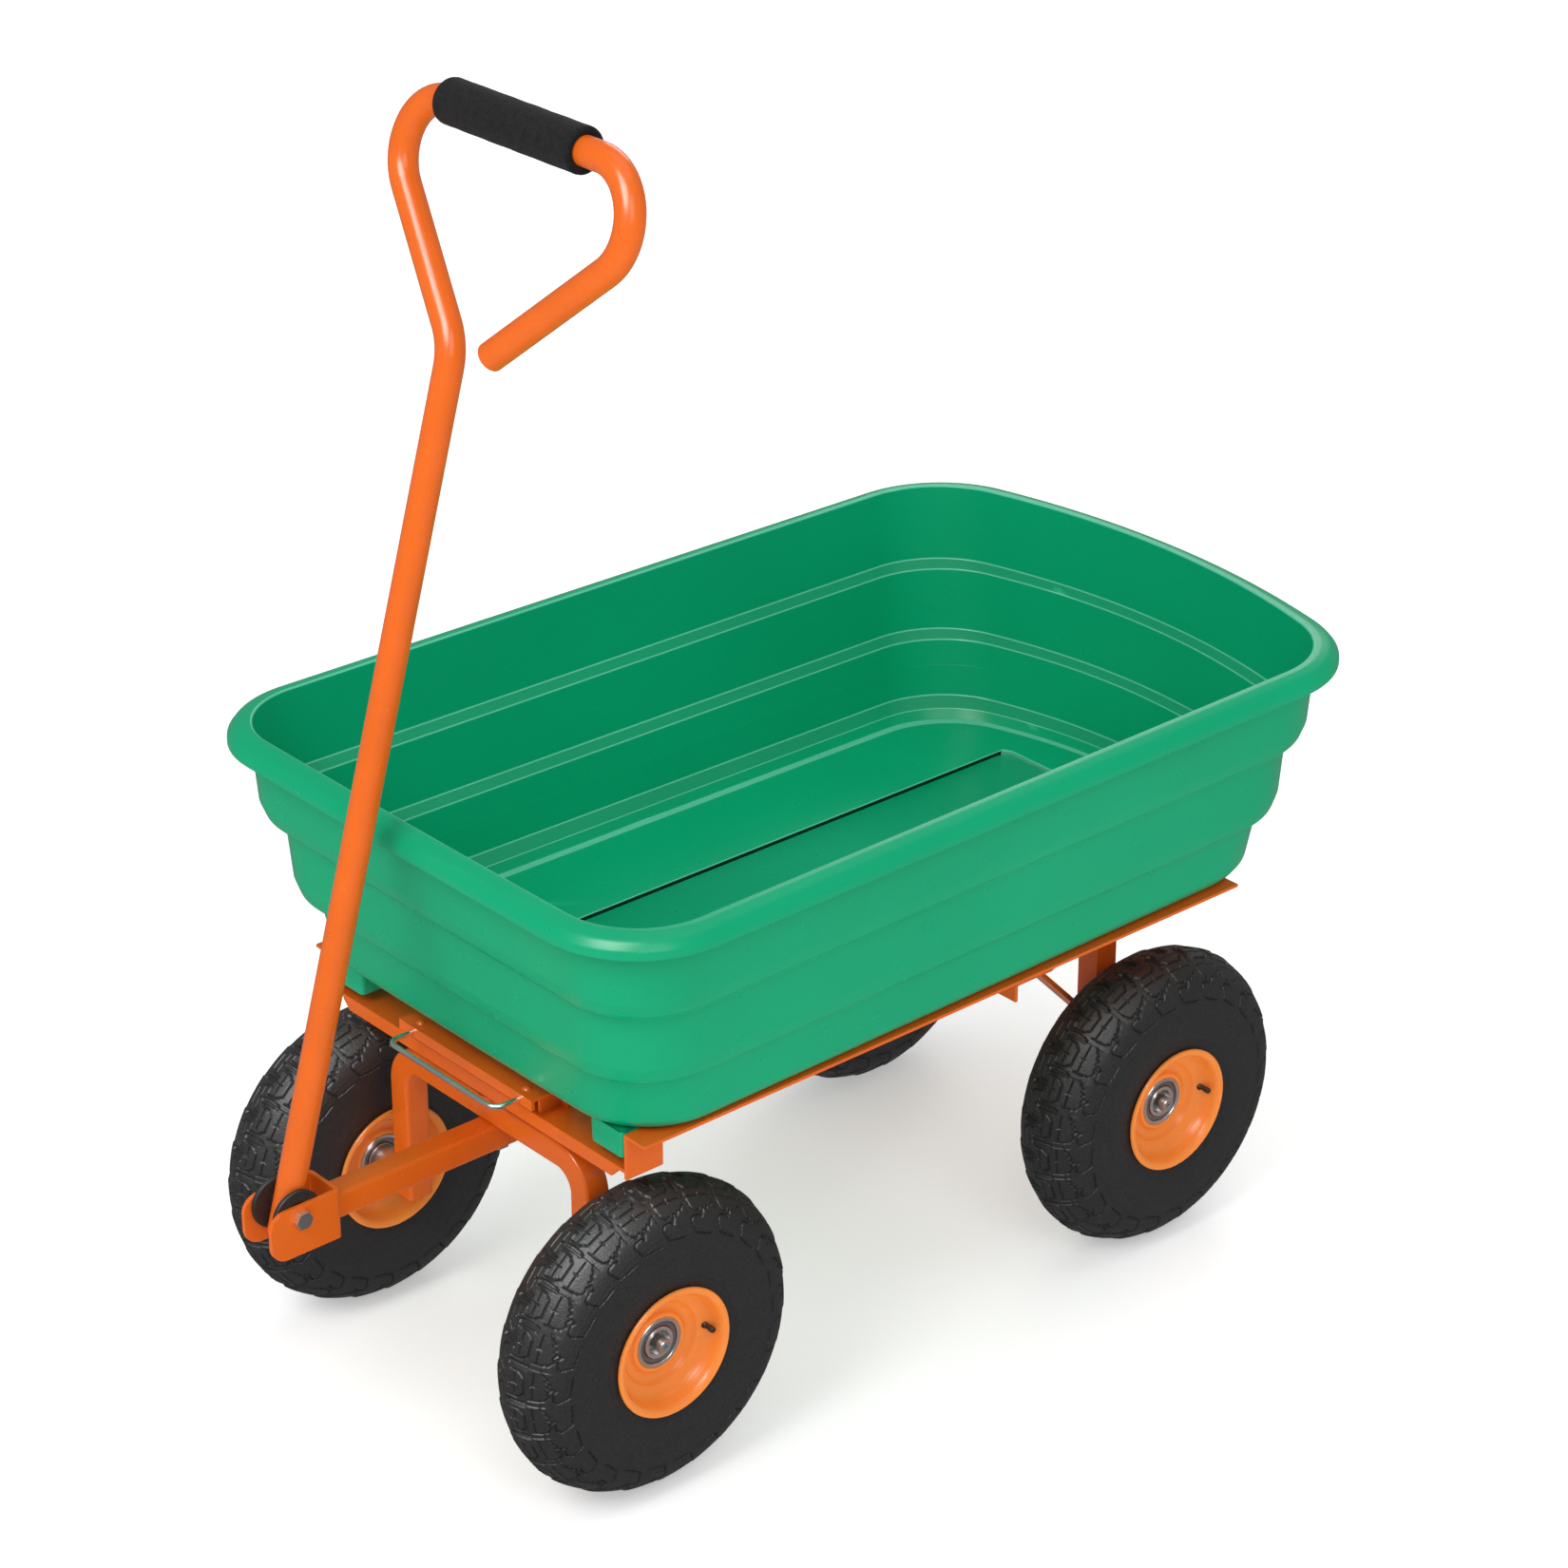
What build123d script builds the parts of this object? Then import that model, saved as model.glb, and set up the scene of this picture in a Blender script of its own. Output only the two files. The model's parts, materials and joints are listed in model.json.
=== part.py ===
from build123d import *
import math
import os

os.makedirs("parts", exist_ok=True)

# A four-wheel tipping garden cart. +X runs forward towards the pull handle, +Y to the cart's
# left, +Z up. Everything is laid out in millimetres from the point on the ground under the
# front axle, and moved at the end so that the origin is under the middle of the whole cart.

# ---- driving dimensions -------------------------------------------------------------------
fit_gap = 0.05          # radial running clearance of a pin or shaft
free_gap = 0.3          # between faces that pass or rest on each other

tyre_radius = 128.0
tyre_half_width = 37.8
axle_height = tyre_radius
wheelbase = 532.0
track_half = 173.3      # cart centre line to wheel centre plane
rear_axle_x = -wheelbase

plate = 3.0             # thickness of the pressed steel members
tube_side = 22.0        # square tube of the yoke, tow bar and rear legs
tube_wall = 2.0
leg_outer_y = 124.0
leg_bottom_z = axle_height - 12.0

yoke_top_z = 258.0
yoke_corner_radius = 38.0

cross_top_z = 279.0     # top of the front and middle cross members
rail_top_z = 310.0      # top of the flanges that the tub rests on
rail_inner_y = 179.0
rail_outer_y = 203.0
rail_front_x = 20.0
rail_rear_x = -599.0
rail_leg_bottom_z = 293.0

kingpin_radius = 6.0
clevis_pivot = (195.0, 0.0, 235.0)
clevis_rear_x = 159.0
clevis_nose_x = 222.0
clevis_outer_y = 19.0
clevis_plate = 3.5
clevis_bolt_radius = 4.0

handle_radius = 11.0
handle_wall = 1.6
handle_lean = 16.0      # degrees behind the vertical, parked
handle_tail = 19.0      # tube below the pivot bolt
stem_length = 655.0     # pivot to the bend at the foot of the loop
grip_height = 815.5     # pivot to the grip's centre line, along the stem
loop_bend_radii = (45.0, 40.0, 47.0)
grip_radius = 17.0
grip_y_range = (-52.5, 97.5)

tub_wall = 3.5
tub_front_x = 66.4      # inner edge of the rim
tub_rear_x = -659.9
tub_half_width = 246.0
tub_taper = 0.0143      # how much each side closes in per mm towards the rear
tub_front_bow = 2.0
tub_rear_bow = 45.0
band_front_share = 0.94
band_rear_share = 0.7
tub_front_corner = 64.5
tub_rear_corner = 80.0
tub_bottom_z = rail_top_z + free_gap
tub_rim_z = 509.0
lip_width = 20.0
lip_bottom_z = 494.0
floor_z = 316.0
floor_panel_drop = 2.0
floor_panel_half_width = 92.0

tip_pivot = (-601.0, 0.0, 300.0)
tip_rod_radius = 5.0

bail_wire_radius = 2.25
bail_half_width = 66.0
bail_bar_x = 51.0
bail_z = 292.5
bail_tip_x = -24.0

# origin under the middle of the bounding box
tub_rear_reach = tub_rear_x - tub_rear_bow - lip_width
origin_shift = -(clevis_nose_x + tub_rear_reach) / 2


# ---- helpers ------------------------------------------------------------------------------
def block(x_range, y_range, z_range):
    """Box from three (low, high) pairs."""
    sizes = [high - low for low, high in (x_range, y_range, z_range)]
    centres = [(high + low) / 2 for low, high in (x_range, y_range, z_range)]
    return Pos(*centres) * Box(*sizes)


def rod_along_y(x, z, y_range, radius):
    low, high = y_range
    return Pos(x, (low + high) / 2, z) * Rot(90, 0, 0) * Cylinder(radius, high - low)


def rod_along_x(y, z, x_range, radius):
    low, high = x_range
    return Pos((low + high) / 2, y, z) * Rot(0, 90, 0) * Cylinder(radius, high - low)


def rod_along_z(x, y, z_range, radius):
    low, high = z_range
    return Pos(x, y, (low + high) / 2) * Cylinder(radius, high - low)


def prism_along_x(outline_yz, x_range):
    """Extrude a polygon given as (y, z) points between two x values."""
    low, high = x_range
    face = Plane.YZ * make_face(Polyline(*outline_yz, close=True))
    return Pos(low, 0, 0) * extrude(face, high - low)


def prism_along_y(outline_xz, y_range):
    """Extrude a polygon given as (x, z) points between two y values."""
    low, high = y_range
    points = [(x, -z) for x, z in outline_xz]
    face = Plane.XY * make_face(Polyline(*points, close=True))
    return Pos(0, low, 0) * Rot(-90, 0, 0) * extrude(face, high - low)


def hex_along(radius_across_corners, length):
    return extrude(RegularPolygon(radius_across_corners, 6), length)


def export(node, shape):
    moved = Pos(origin_shift, 0, 0) * shape
    moved.label = node
    export_step(moved, f"parts/{node}.step")


def export_pair(node, shapes):
    export(node, Compound(children=[Solid(s.solid().wrapped) for s in shapes]))


def mirrored_y(shape):
    return mirror(shape, about=Plane.XZ)


# ---- wheels -------------------------------------------------------------------------------
bearing_radius = 20.8
bearing_face = 19.5     # from the wheel's middle plane
bearing_width = 12.0
axle_radius = 10.0
axle_face = 16.5        # end of the thick part of the stub axle, from the wheel's middle plane
axle_stud_radius = 4.8
axle_stud_end = 27.0
axle_shoulder_radius = 13.0


def tyre_solid():
    """Hollow tyre: a round-shouldered carcass that closes on the rim's two bead seats."""
    half = tyre_half_width
    bead = Line((48.3, -34.2), (53.6, -34.4))
    outer = Spline(
        (53.6, -34.4), (62.0, -36.2), (86.0, -half), (112.0, -30.0), (tyre_radius, 0),
        (112.0, 30.0), (86.0, half), (62.0, 36.2), (53.6, 34.4),
    )
    far_bead = Line((53.6, 34.4), (48.3, 34.2))
    inner = Spline((46.0, 27.0), (60.0, 30.5), (86.0, 31.0), (108.0, 24.0), (119.0, 0),
                   (108.0, -24.0), (86.0, -31.0), (60.0, -30.5), (46.0, -27.0))
    edges = bead + outer + far_bead + inner
    edges += Line(far_bead @ 1, inner @ 0) + Line(inner @ 1, bead @ 0)
    return revolve(make_face(edges), Axis.Y)


def rim_half():
    """Pressed rim half: curled lip, bead seat, stepped dish and bearing pocket."""
    outline = [
        (53.0, 34.9), (53.0, 37.0), (51.6, 37.8), (49.6, 37.4), (47.2, 36.6), (46.0, 34.6),
        (43.9, 27.4), (42.6, 24.2), (40.5, 22.4), (34.6, 19.8), (32.2, 15.8), (28.0, 14.4), (25.2, 15.6),
        (23.8, bearing_face - 0.3), (bearing_radius, bearing_face - 0.3),
        (bearing_radius, bearing_face - bearing_width), (15.0, bearing_face - bearing_width),
        (15.0, 5.0), (22.8, 5.0), (23.4, 12.4), (30.0, 11.6), (34.0, 13.2), (36.6, 17.6),
        (41.6, 20.0), (43.4, 21.2), (43.4, 0.0), (45.6, 0.0), (45.6, 26.6), (48.0, 34.6),
    ]
    return revolve(make_face(Polyline(*outline, close=True)), Axis.Y)


def ring_along_y(inner_radius, outer_radius, y_range):
    low, high = y_range
    solid = rod_along_y(0, 0, (low, high), outer_radius)
    return solid - rod_along_y(0, 0, (low - 1, high + 1), inner_radius)


def bearing_rings(side):
    """Outer race, shield and inner race of one ball bearing, on the wheel's own axis."""
    outer_face = side * bearing_face
    inner_face = side * (bearing_face - bearing_width)
    faces = sorted((outer_face, inner_face))
    shield = sorted((side * (bearing_face - 1.2), side * (bearing_face - bearing_width + 1.2)))
    return [
        ring_along_y(17.4, bearing_radius, faces),
        ring_along_y(13.2, 17.4, shield),
        ring_along_y(axle_radius, 13.2, faces),
    ]


valve_orbit_radius = 41.0


def valve_stem(side):
    """Rubber-covered valve that leaves the dish beside the hub, pointing outboard."""
    body = rod_along_y(-valve_orbit_radius, 0, (22.8, 30.0), 3.4)
    cap = rod_along_y(-valve_orbit_radius, 0, (30.0, 37.0), 2.8)
    stem = body + cap
    return stem if side > 0 else mirrored_y(stem)


def make_wheel(name, x, side):
    centre = Pos(x, side * track_half, axle_height)
    outboard = rim_half() if side > 0 else mirrored_y(rim_half())
    inboard = mirrored_y(outboard)
    valve_hole = rod_along_y(-valve_orbit_radius, 0, sorted((side * 15.0, side * 30.0)), 3.4)
    export(f"{name}_tyre", centre * tyre_solid())
    export(f"{name}_rim_outer", centre * (outboard - valve_hole))
    export(f"{name}_rim_inner", centre * inboard)
    sleeve = ring_along_y(axle_radius + 1.5, 13.0, (-7.5, 7.5))
    export(f"{name}_hub_sleeve", centre * sleeve)
    rings = [centre * ring for end in (1, -1) for ring in bearing_rings(end)]
    export_pair(f"{name}_bearings", rings)
    export(f"{name}_valve", centre * valve_stem(side))


def stub_axle(x, side):
    """Shouldered stub axle, welded to the outer face of a leg."""
    shoulder_end = track_half - bearing_face - free_gap
    solid = rod_along_y(x, axle_height, (leg_outer_y, shoulder_end), axle_shoulder_radius)
    solid += rod_along_y(x, axle_height, (shoulder_end, track_half + axle_face), axle_radius - fit_gap)
    solid += rod_along_y(x, axle_height, (track_half + axle_face, track_half + axle_stud_end),
                         axle_stud_radius)
    stud_edge = solid.edges().sort_by(Axis.Y)[-1]
    solid = chamfer(stud_edge, 0.8)
    return solid if side > 0 else mirrored_y(solid)


def make_wheels():
    for row, x in (("front", 0.0), ("rear", rear_axle_x)):
        for hand, side in (("left", 1), ("right", -1)):
            make_wheel(f"{row}_{hand}", x, side)
        export_pair(f"{row}_stub_axles", [stub_axle(x, 1), stub_axle(x, -1)])


# ---- chassis ------------------------------------------------------------------------------
gusset_bottom_z = 272.0
gusset_rear_x = -15.0
cross_width = 49.0
lip_half_width = 170.0
lip_chamfer = 7.5


def side_rail():
    """Angle rail: outboard flange under the tub, short leg below it and a front gusset."""
    x_range = (rail_rear_x, rail_front_x)
    flange = block(x_range, (rail_inner_y, rail_outer_y), (rail_top_z - plate, rail_top_z))
    leg = block(x_range, (rail_inner_y, rail_inner_y + plate), (rail_leg_bottom_z, rail_top_z))
    gusset = block((gusset_rear_x, rail_front_x), (rail_inner_y, rail_inner_y + plate),
                   (gusset_bottom_z, rail_top_z))
    return flange + leg + gusset


def chamfered_lip(x_front, bottom_z, half_width):
    """Downturned front edge of a cross member, its lower corners cut off."""
    outline = [
        (-half_width, cross_top_z), (half_width, cross_top_z),
        (half_width, bottom_z + lip_chamfer), (half_width - lip_chamfer, bottom_z),
        (lip_chamfer - half_width, bottom_z), (-half_width, bottom_z + lip_chamfer),
    ]
    return prism_along_x(outline, (x_front - plate, x_front))


def front_cross_member():
    x_front = 19.0
    top = block((x_front - cross_width, x_front), (-rail_inner_y, rail_inner_y),
                (cross_top_z - plate, cross_top_z))
    solid = top + chamfered_lip(x_front, 267.0, lip_half_width)
    return solid - rod_along_z(0, 0, (cross_top_z - 10, cross_top_z + 10), kingpin_radius - fit_gap)


mid_cross_x = (-428.0, -388.0)
mid_cross_half_width = 165.0


def mid_cross_member():
    """Angle whose ends are bent up to meet the legs of the two rails."""
    low, high = cross_top_z - plate, cross_top_z
    y_flat, y_end = mid_cross_half_width, rail_inner_y
    end_low, end_high = rail_leg_bottom_z + 0.5, rail_leg_bottom_z + 4.5
    outline = [
        (-y_end, end_low), (-y_flat, low), (y_flat, low), (y_end, end_low),
        (y_end, end_high), (y_flat, high), (-y_flat, high), (-y_end, end_high),
    ]
    plate_solid = prism_along_x(outline, mid_cross_x)
    lip = block((mid_cross_x[1] - plate, mid_cross_x[1]), (-y_flat, y_flat), (262.0, high - 1))
    return plate_solid + lip


rear_plate_z = (293.0, 296.0)
rear_plate_x = (-590.0, -506.0)
lug_y = 110.0
lug_nose_radius = 9.0


def rear_cross_member():
    """Plate between the rails with two upright lugs that hold the tipping rod."""
    solid = block(rear_plate_x, (-rail_inner_y, rail_inner_y), rear_plate_z)
    pivot_x, _, pivot_z = tip_pivot
    for side in (1, -1):
        y_range = sorted((side * lug_y, side * (lug_y + plate)))
        outline = [
            (-560.0, rear_plate_z[1] - 1), (-560.0, 300.0), (pivot_x, pivot_z + lug_nose_radius),
            (pivot_x, pivot_z - lug_nose_radius), (rear_plate_x[0] + 1, rear_plate_z[0]),
            (rear_plate_x[0] + 4, rear_plate_z[0] + 1),
        ]
        solid += prism_along_y(outline, y_range)
        solid += rod_along_y(pivot_x, pivot_z, y_range, lug_nose_radius)
    return solid - rod_along_y(pivot_x, pivot_z, (-200, 200), tip_rod_radius - fit_gap)


def rear_leg():
    x_range = (rear_axle_x - tube_side / 2, rear_axle_x + tube_side / 2)
    y_range = (leg_outer_y - tube_side, leg_outer_y)
    z_range = (leg_bottom_z, rear_plate_z[0])
    hollow = block(
        (x_range[0] + tube_wall, x_range[1] - tube_wall),
        (y_range[0] + tube_wall, y_range[1] - tube_wall),
        (z_range[0] - 1, z_range[1] + 1),
    )
    return block(x_range, y_range, z_range) - hollow


def rear_brace():
    """Flat strap from the leg's front face up to the middle cross member."""
    leg_front = rear_axle_x + tube_side / 2
    under = cross_top_z - plate
    outline = [(leg_front, 177.0), (-426.0, under), (-431.6, under), (leg_front, 182.8)]
    return prism_along_y(outline, (leg_outer_y - 21.0, leg_outer_y - 1.0))


channel_half_width = 82.0
channel_front_x = 28.7
channel_rear_x = -8.0
channel_top_z = 298.0
channel_post_y = 72.0
channel_plate = 2.0
channel_lip_z = 289.0


def latch_channel():
    """Folded channel on the front cross member that guides the bail's two legs."""
    y_range = (-channel_half_width, channel_half_width)
    top = block((channel_rear_x, channel_front_x), y_range,
                (channel_top_z - channel_plate, channel_top_z))
    front = block((channel_front_x - plate, channel_front_x), y_range,
                  (channel_lip_z, channel_top_z))
    rear = block((channel_rear_x, channel_rear_x + plate), y_range, (cross_top_z, channel_top_z))
    rear -= block((-20, 20), (-26.0, 26.0), (cross_top_z - 1, 290.0))
    solid = top + front + rear
    for side in (1, -1):
        y_post = sorted((side * channel_post_y, side * (channel_post_y + plate)))
        solid += block((channel_rear_x, 15.0), y_post, (cross_top_z, channel_top_z - 1))
        solid -= rod_along_x(side * bail_half_width, bail_z, (-20, 40), bail_wire_radius + 0.1)
    return solid


def latch_rivets():
    """Domed rivet heads on top of the channel."""
    heads = []
    for side in (1, -1):
        dome = Pos(20.0, side * 65.6, channel_top_z - 2.2) * Sphere(4.6)
        heads.append(dome & block((0, 40), (-100, 100), (channel_top_z, channel_top_z + 10)))
    return heads


washer_thickness = 2.0


def kingpin():
    """Bolt through the cross member, bush, yoke and tow bar, its head on the cross member."""
    head = Pos(0, 0, cross_top_z) * hex_along(11.0, 7.5)
    shank_bottom = yoke_top_z - 2 * tube_side - 10.0
    return head + rod_along_z(0, 0, (shank_bottom, cross_top_z + 1), kingpin_radius - fit_gap)


def kingpin_washer():
    z_range = (cross_top_z - plate - washer_thickness, cross_top_z - plate)
    return rod_along_z(0, 0, z_range, 13.0) - rod_along_z(0, 0, (200, 300), kingpin_radius - fit_gap)


def kingpin_nut():
    top = yoke_top_z - 2 * tube_side - free_gap
    body = Pos(0, 0, top - 7.5) * hex_along(11.0, 7.5)
    return body - rod_along_z(0, 0, (100, 300), kingpin_radius - fit_gap)


def tip_rod():
    pivot_x, _, pivot_z = tip_pivot
    return rod_along_y(pivot_x, pivot_z, (-lug_y - 10, lug_y + 10), tip_rod_radius - fit_gap)


def tip_rod_caps():
    pivot_x, _, pivot_z = tip_pivot
    caps = []
    for side in (1, -1):
        y_range = sorted((side * (lug_y + plate), side * (lug_y + plate + 3.0)))
        cap = rod_along_y(pivot_x, pivot_z, y_range, 8.0)
        caps.append(cap - rod_along_y(pivot_x, pivot_z, (-200, 200), tip_rod_radius - fit_gap))
    return caps


def make_chassis():
    export("left_side_rail", side_rail())
    export("right_side_rail", mirrored_y(side_rail()))
    export("front_cross_member", front_cross_member())
    export("mid_cross_member", mid_cross_member())
    export("rear_cross_member", rear_cross_member())
    export("left_rear_leg", rear_leg())
    export("right_rear_leg", mirrored_y(rear_leg()))
    export("left_rear_brace", rear_brace())
    export("right_rear_brace", mirrored_y(rear_brace()))
    export("latch_channel", latch_channel())
    export_pair("latch_rivets", latch_rivets())
    export("kingpin", kingpin())
    export("kingpin_washer", kingpin_washer())
    export("kingpin_nut", kingpin_nut())
    export("tip_rod", tip_rod())
    export_pair("tip_rod_caps", tip_rod_caps())


# ---- steering assembly --------------------------------------------------------------------
def rounded_arch(half_width, top_z, corner_radius, depth):
    """Front view of a round-shouldered arch, as a solid of the given depth about x = 0."""
    height = top_z - leg_bottom_z + 60.0
    face = Plane.YZ * Pos(0, top_z - height / 2) * RectangleRounded(2 * half_width, height, corner_radius)
    solid = Pos(-depth / 2, 0, 0) * extrude(face, depth)
    return solid & block((-depth, depth), (-half_width, half_width), (leg_bottom_z, top_z))


def axle_yoke():
    """One square tube bent into an inverted U over the two front wheels' inner sides."""
    outer = leg_outer_y
    inner = leg_outer_y - tube_side
    under = yoke_top_z - tube_side
    body = rounded_arch(outer, yoke_top_z, yoke_corner_radius, tube_side)
    body -= rounded_arch(inner, under, yoke_corner_radius - tube_side, tube_side + 2)
    inside = rounded_arch(outer - tube_wall, yoke_top_z - tube_wall,
                          yoke_corner_radius - tube_wall, tube_side - 2 * tube_wall)
    inside -= rounded_arch(inner + tube_wall, under + tube_wall,
                           yoke_corner_radius - tube_side + tube_wall, tube_side)
    return body - inside - rod_along_z(0, 0, (200, 300), kingpin_radius)


def kingpin_bush():
    z_range = (yoke_top_z, cross_top_z - plate - washer_thickness - free_gap)
    return rod_along_z(0, 0, z_range, 13.0) - rod_along_z(0, 0, (200, 300), kingpin_radius)


def tow_bar():
    top = yoke_top_z - tube_side
    half = tube_side / 2
    body = block((-half, clevis_rear_x), (-half, half), (top - tube_side, top))
    body = fillet(body.edges().filter_by(Axis.X), 3.0)
    inside = half - tube_wall
    body -= block((-half - 1, clevis_rear_x + 1), (-inside, inside),
                  (top - tube_side + tube_wall, top - tube_wall))
    return body - rod_along_z(0, 0, (200, 300), kingpin_radius)


clevis_bottom_z = 204.5
clevis_top_z = 245.5
clevis_nose_radius = 14.0


def clevis():
    """U bracket: back plate on the tow bar's end and two round-nosed ears."""
    length = clevis_nose_x - clevis_rear_x
    body = block((clevis_rear_x, clevis_nose_x), (-clevis_outer_y, clevis_outer_y),
                 (clevis_bottom_z, clevis_top_z))
    nose = body.edges().filter_by(Axis.Y).sort_by(Axis.X)[-2:]
    body = fillet(nose, clevis_nose_radius)
    back = body.edges().filter_by(Axis.Z).sort_by(Axis.X)[:2]
    body = fillet(back, 4.0)
    inside_y = clevis_outer_y - clevis_plate
    body -= block((clevis_rear_x + clevis_plate, clevis_rear_x + length + 1), (-inside_y, inside_y),
                  (clevis_bottom_z - 1, clevis_top_z + 1))
    pivot_x, _, pivot_z = clevis_pivot
    return body - rod_along_y(pivot_x, pivot_z, (-50, 50), clevis_bolt_radius - fit_gap)


def clevis_bolt():
    pivot_x, _, pivot_z = clevis_pivot
    shank = rod_along_y(pivot_x, pivot_z, (-30.0, clevis_outer_y + 1), clevis_bolt_radius - fit_gap)
    head = Pos(pivot_x, clevis_outer_y + 5.3, pivot_z) * Rot(90, 0, 0) * hex_along(7.5, 5.3)
    return shank + head


def clevis_nut():
    pivot_x, _, pivot_z = clevis_pivot
    body = Pos(pivot_x, -clevis_outer_y, pivot_z) * Rot(90, 0, 0) * hex_along(7.5, 6.5)
    return body - rod_along_y(pivot_x, pivot_z, (-50, 50), clevis_bolt_radius - fit_gap)


def make_steering():
    export("axle_yoke", axle_yoke())
    export("kingpin_bush", kingpin_bush())
    export("tow_bar", tow_bar())
    export("clevis", clevis())
    export("clevis_bolt", clevis_bolt())
    export("clevis_nut", clevis_nut())


# ---- handle -------------------------------------------------------------------------------
lean = math.radians(handle_lean)
stem_direction = Vector(-math.sin(lean), 0, math.cos(lean))
# in this plane x is the cart's +Y and y runs up the stem from the pivot bolt
stem_plane = Plane(origin=clevis_pivot, x_dir=(0, 1, 0),
                   z_dir=(math.cos(lean), 0, math.sin(lean)))

loop_left_corner = (-142.0, grip_height)
loop_right_corner = (225.0, grip_height)
loop_free_end = (42.0, 658.0)


def handle_tube():
    """One bent tube: stem, a loop turned to the right, the grip run and an open free end."""
    path = stem_plane * FilletPolyline(
        (0, -handle_tail), (0, stem_length), loop_left_corner, loop_right_corner, loop_free_end,
        radius=loop_bend_radii,
    )
    section = Plane(origin=path @ 0, z_dir=path % 0) * (
        Circle(handle_radius) - Circle(handle_radius - handle_wall)
    )
    tube = sweep(section, path=path)
    pivot_x, _, pivot_z = clevis_pivot
    return tube - rod_along_y(pivot_x, pivot_z, (-50, 50), clevis_bolt_radius)


def foam_grip():
    centre = Vector(*clevis_pivot) + stem_direction * grip_height
    sleeve = rod_along_y(centre.X, centre.Z, grip_y_range, grip_radius)
    sleeve = fillet(sleeve.edges().filter_by(GeomType.CIRCLE), 2.5)
    return sleeve - rod_along_y(centre.X, centre.Z, (-150, 150), handle_radius)


def friction_discs():
    """Two plastic discs that grip the tube between the clevis ears."""
    pivot_x, _, pivot_z = clevis_pivot
    discs = []
    for side in (1, -1):
        y_range = sorted((side * (handle_radius + 0.2), side * (clevis_outer_y - clevis_plate - 0.2)))
        disc = rod_along_y(pivot_x, pivot_z, y_range, 21.0)
        discs.append(disc - rod_along_y(pivot_x, pivot_z, (-50, 50), clevis_bolt_radius))
    return discs


def make_handle():
    export("handle_tube", handle_tube())
    export("foam_grip", foam_grip())
    export_pair("friction_discs", friction_discs())


# ---- tub ----------------------------------------------------------------------------------
# (height, offset of the wall from the rim's inner edge) from the base up: three bands, each
# stepping out through a rounded shoulder
outer_wall = [
    (tub_bottom_z, -54.0), (314.0, -44.0), (322.0, -37.5), (358.0, -31.5), (362.0, -31.0),
    (372.0, -22.0), (386.0, -18.5), (424.0, -14.8), (427.0, -14.6), (436.0, -6.5),
    (448.0, -3.0), (tub_rim_z, 3.0),
]
inner_wall = [
    (floor_z, -58.0), (320.0, -53.0), (327.0, -40.5), (364.0, -35.0), (368.0, -34.5),
    (377.0, -25.0), (388.0, -22.2), (430.0, -18.2), (433.0, -18.0), (441.0, -9.0),
    (450.0, -6.6), (tub_rim_z + 3.0, 0.0),
]


def tub_outline(offset, z):
    """Plan of the tub at one height: straight sides that close in a little towards the rear, a
    slightly bowed front and a bowed rear. Below the rim the bands step in a little less at the
    front than at the sides, and less again at the rear."""
    inset = min(offset, 0.0)
    front = tub_front_x + offset + inset * (band_front_share - 1.0)
    rear = tub_rear_x - offset - inset * (band_rear_share - 1.0)
    half = tub_half_width + offset
    rear_half = half + tub_taper * rear
    edges = Line((rear, rear_half), (front, half))
    edges += ThreePointArc((front, half), (front + tub_front_bow, 0), (front, -half))
    edges += Line((front, -half), (rear, -rear_half))
    edges += ThreePointArc((rear, -rear_half), (rear - tub_rear_bow, 0), (rear, rear_half))
    face = make_face(edges)
    corners = face.vertices().sort_by(Axis.X)
    face = fillet(corners[2:], tub_front_corner)
    corners = [v for v in face.vertices() if abs(v.X - rear) < 1 and abs(abs(v.Y) - rear_half) < 1]
    face = fillet(corners, tub_rear_corner)
    return Pos(0, 0, z) * face


def stack(levels):
    """Solid through a column of outlines, straight between one level and the next."""
    solid = None
    for (low_z, low_offset), (high_z, high_offset) in zip(levels, levels[1:]):
        sections = [tub_outline(low_offset, low_z).face(), tub_outline(high_offset, high_z).face()]
        slab = loft(sections, ruled=True)
        solid = slab if solid is None else solid + slab
    return solid


def rolled_lip():
    """Rim turned outwards and down, open below."""
    full = extrude(tub_outline(lip_width, lip_bottom_z), tub_rim_z + 1.0 - lip_bottom_z)
    top_edges = full.faces().sort_by(Axis.Z)[-1].edges()
    full = fillet(top_edges, 7.0)
    cavity = extrude(tub_outline(lip_width - tub_wall, lip_bottom_z - 1), 12.0)
    return full - cavity


runner_y = (141.0, 178.6)
runner_x = (-368.0, 21.0)
runner_bottom_z = 289.0
runner_wall = 3.0


def runner():
    """Open-bottomed rib under the floor that sits between a rail and the cart's middle."""
    y_low, y_high = runner_y
    body = block(runner_x, runner_y, (runner_bottom_z, tub_bottom_z))
    inside = block(
        (runner_x[0] + runner_wall, runner_x[1] - runner_wall),
        (y_low + runner_wall, y_high - runner_wall),
        (runner_bottom_z - 1, tub_bottom_z - runner_wall),
    )
    return body - inside


screw_radius = 3.0
keeper_screws = [(-30.0, y) for y in (-45.0, 45.0)]
bracket_screws = [(x, y) for x in (-582.0, -556.0) for y in (-82.0, 82.0)]


def tub():
    body = stack(outer_wall) + rolled_lip()
    body -= stack(inner_wall)
    panel = block((-630.0, 5.0), (-floor_panel_half_width, floor_panel_half_width),
                  (floor_z - floor_panel_drop, floor_z + 1))
    return body - panel


keeper_x = (-42.0, 4.0)
keeper_tab_x = (-15.0, -12.0)


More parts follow.
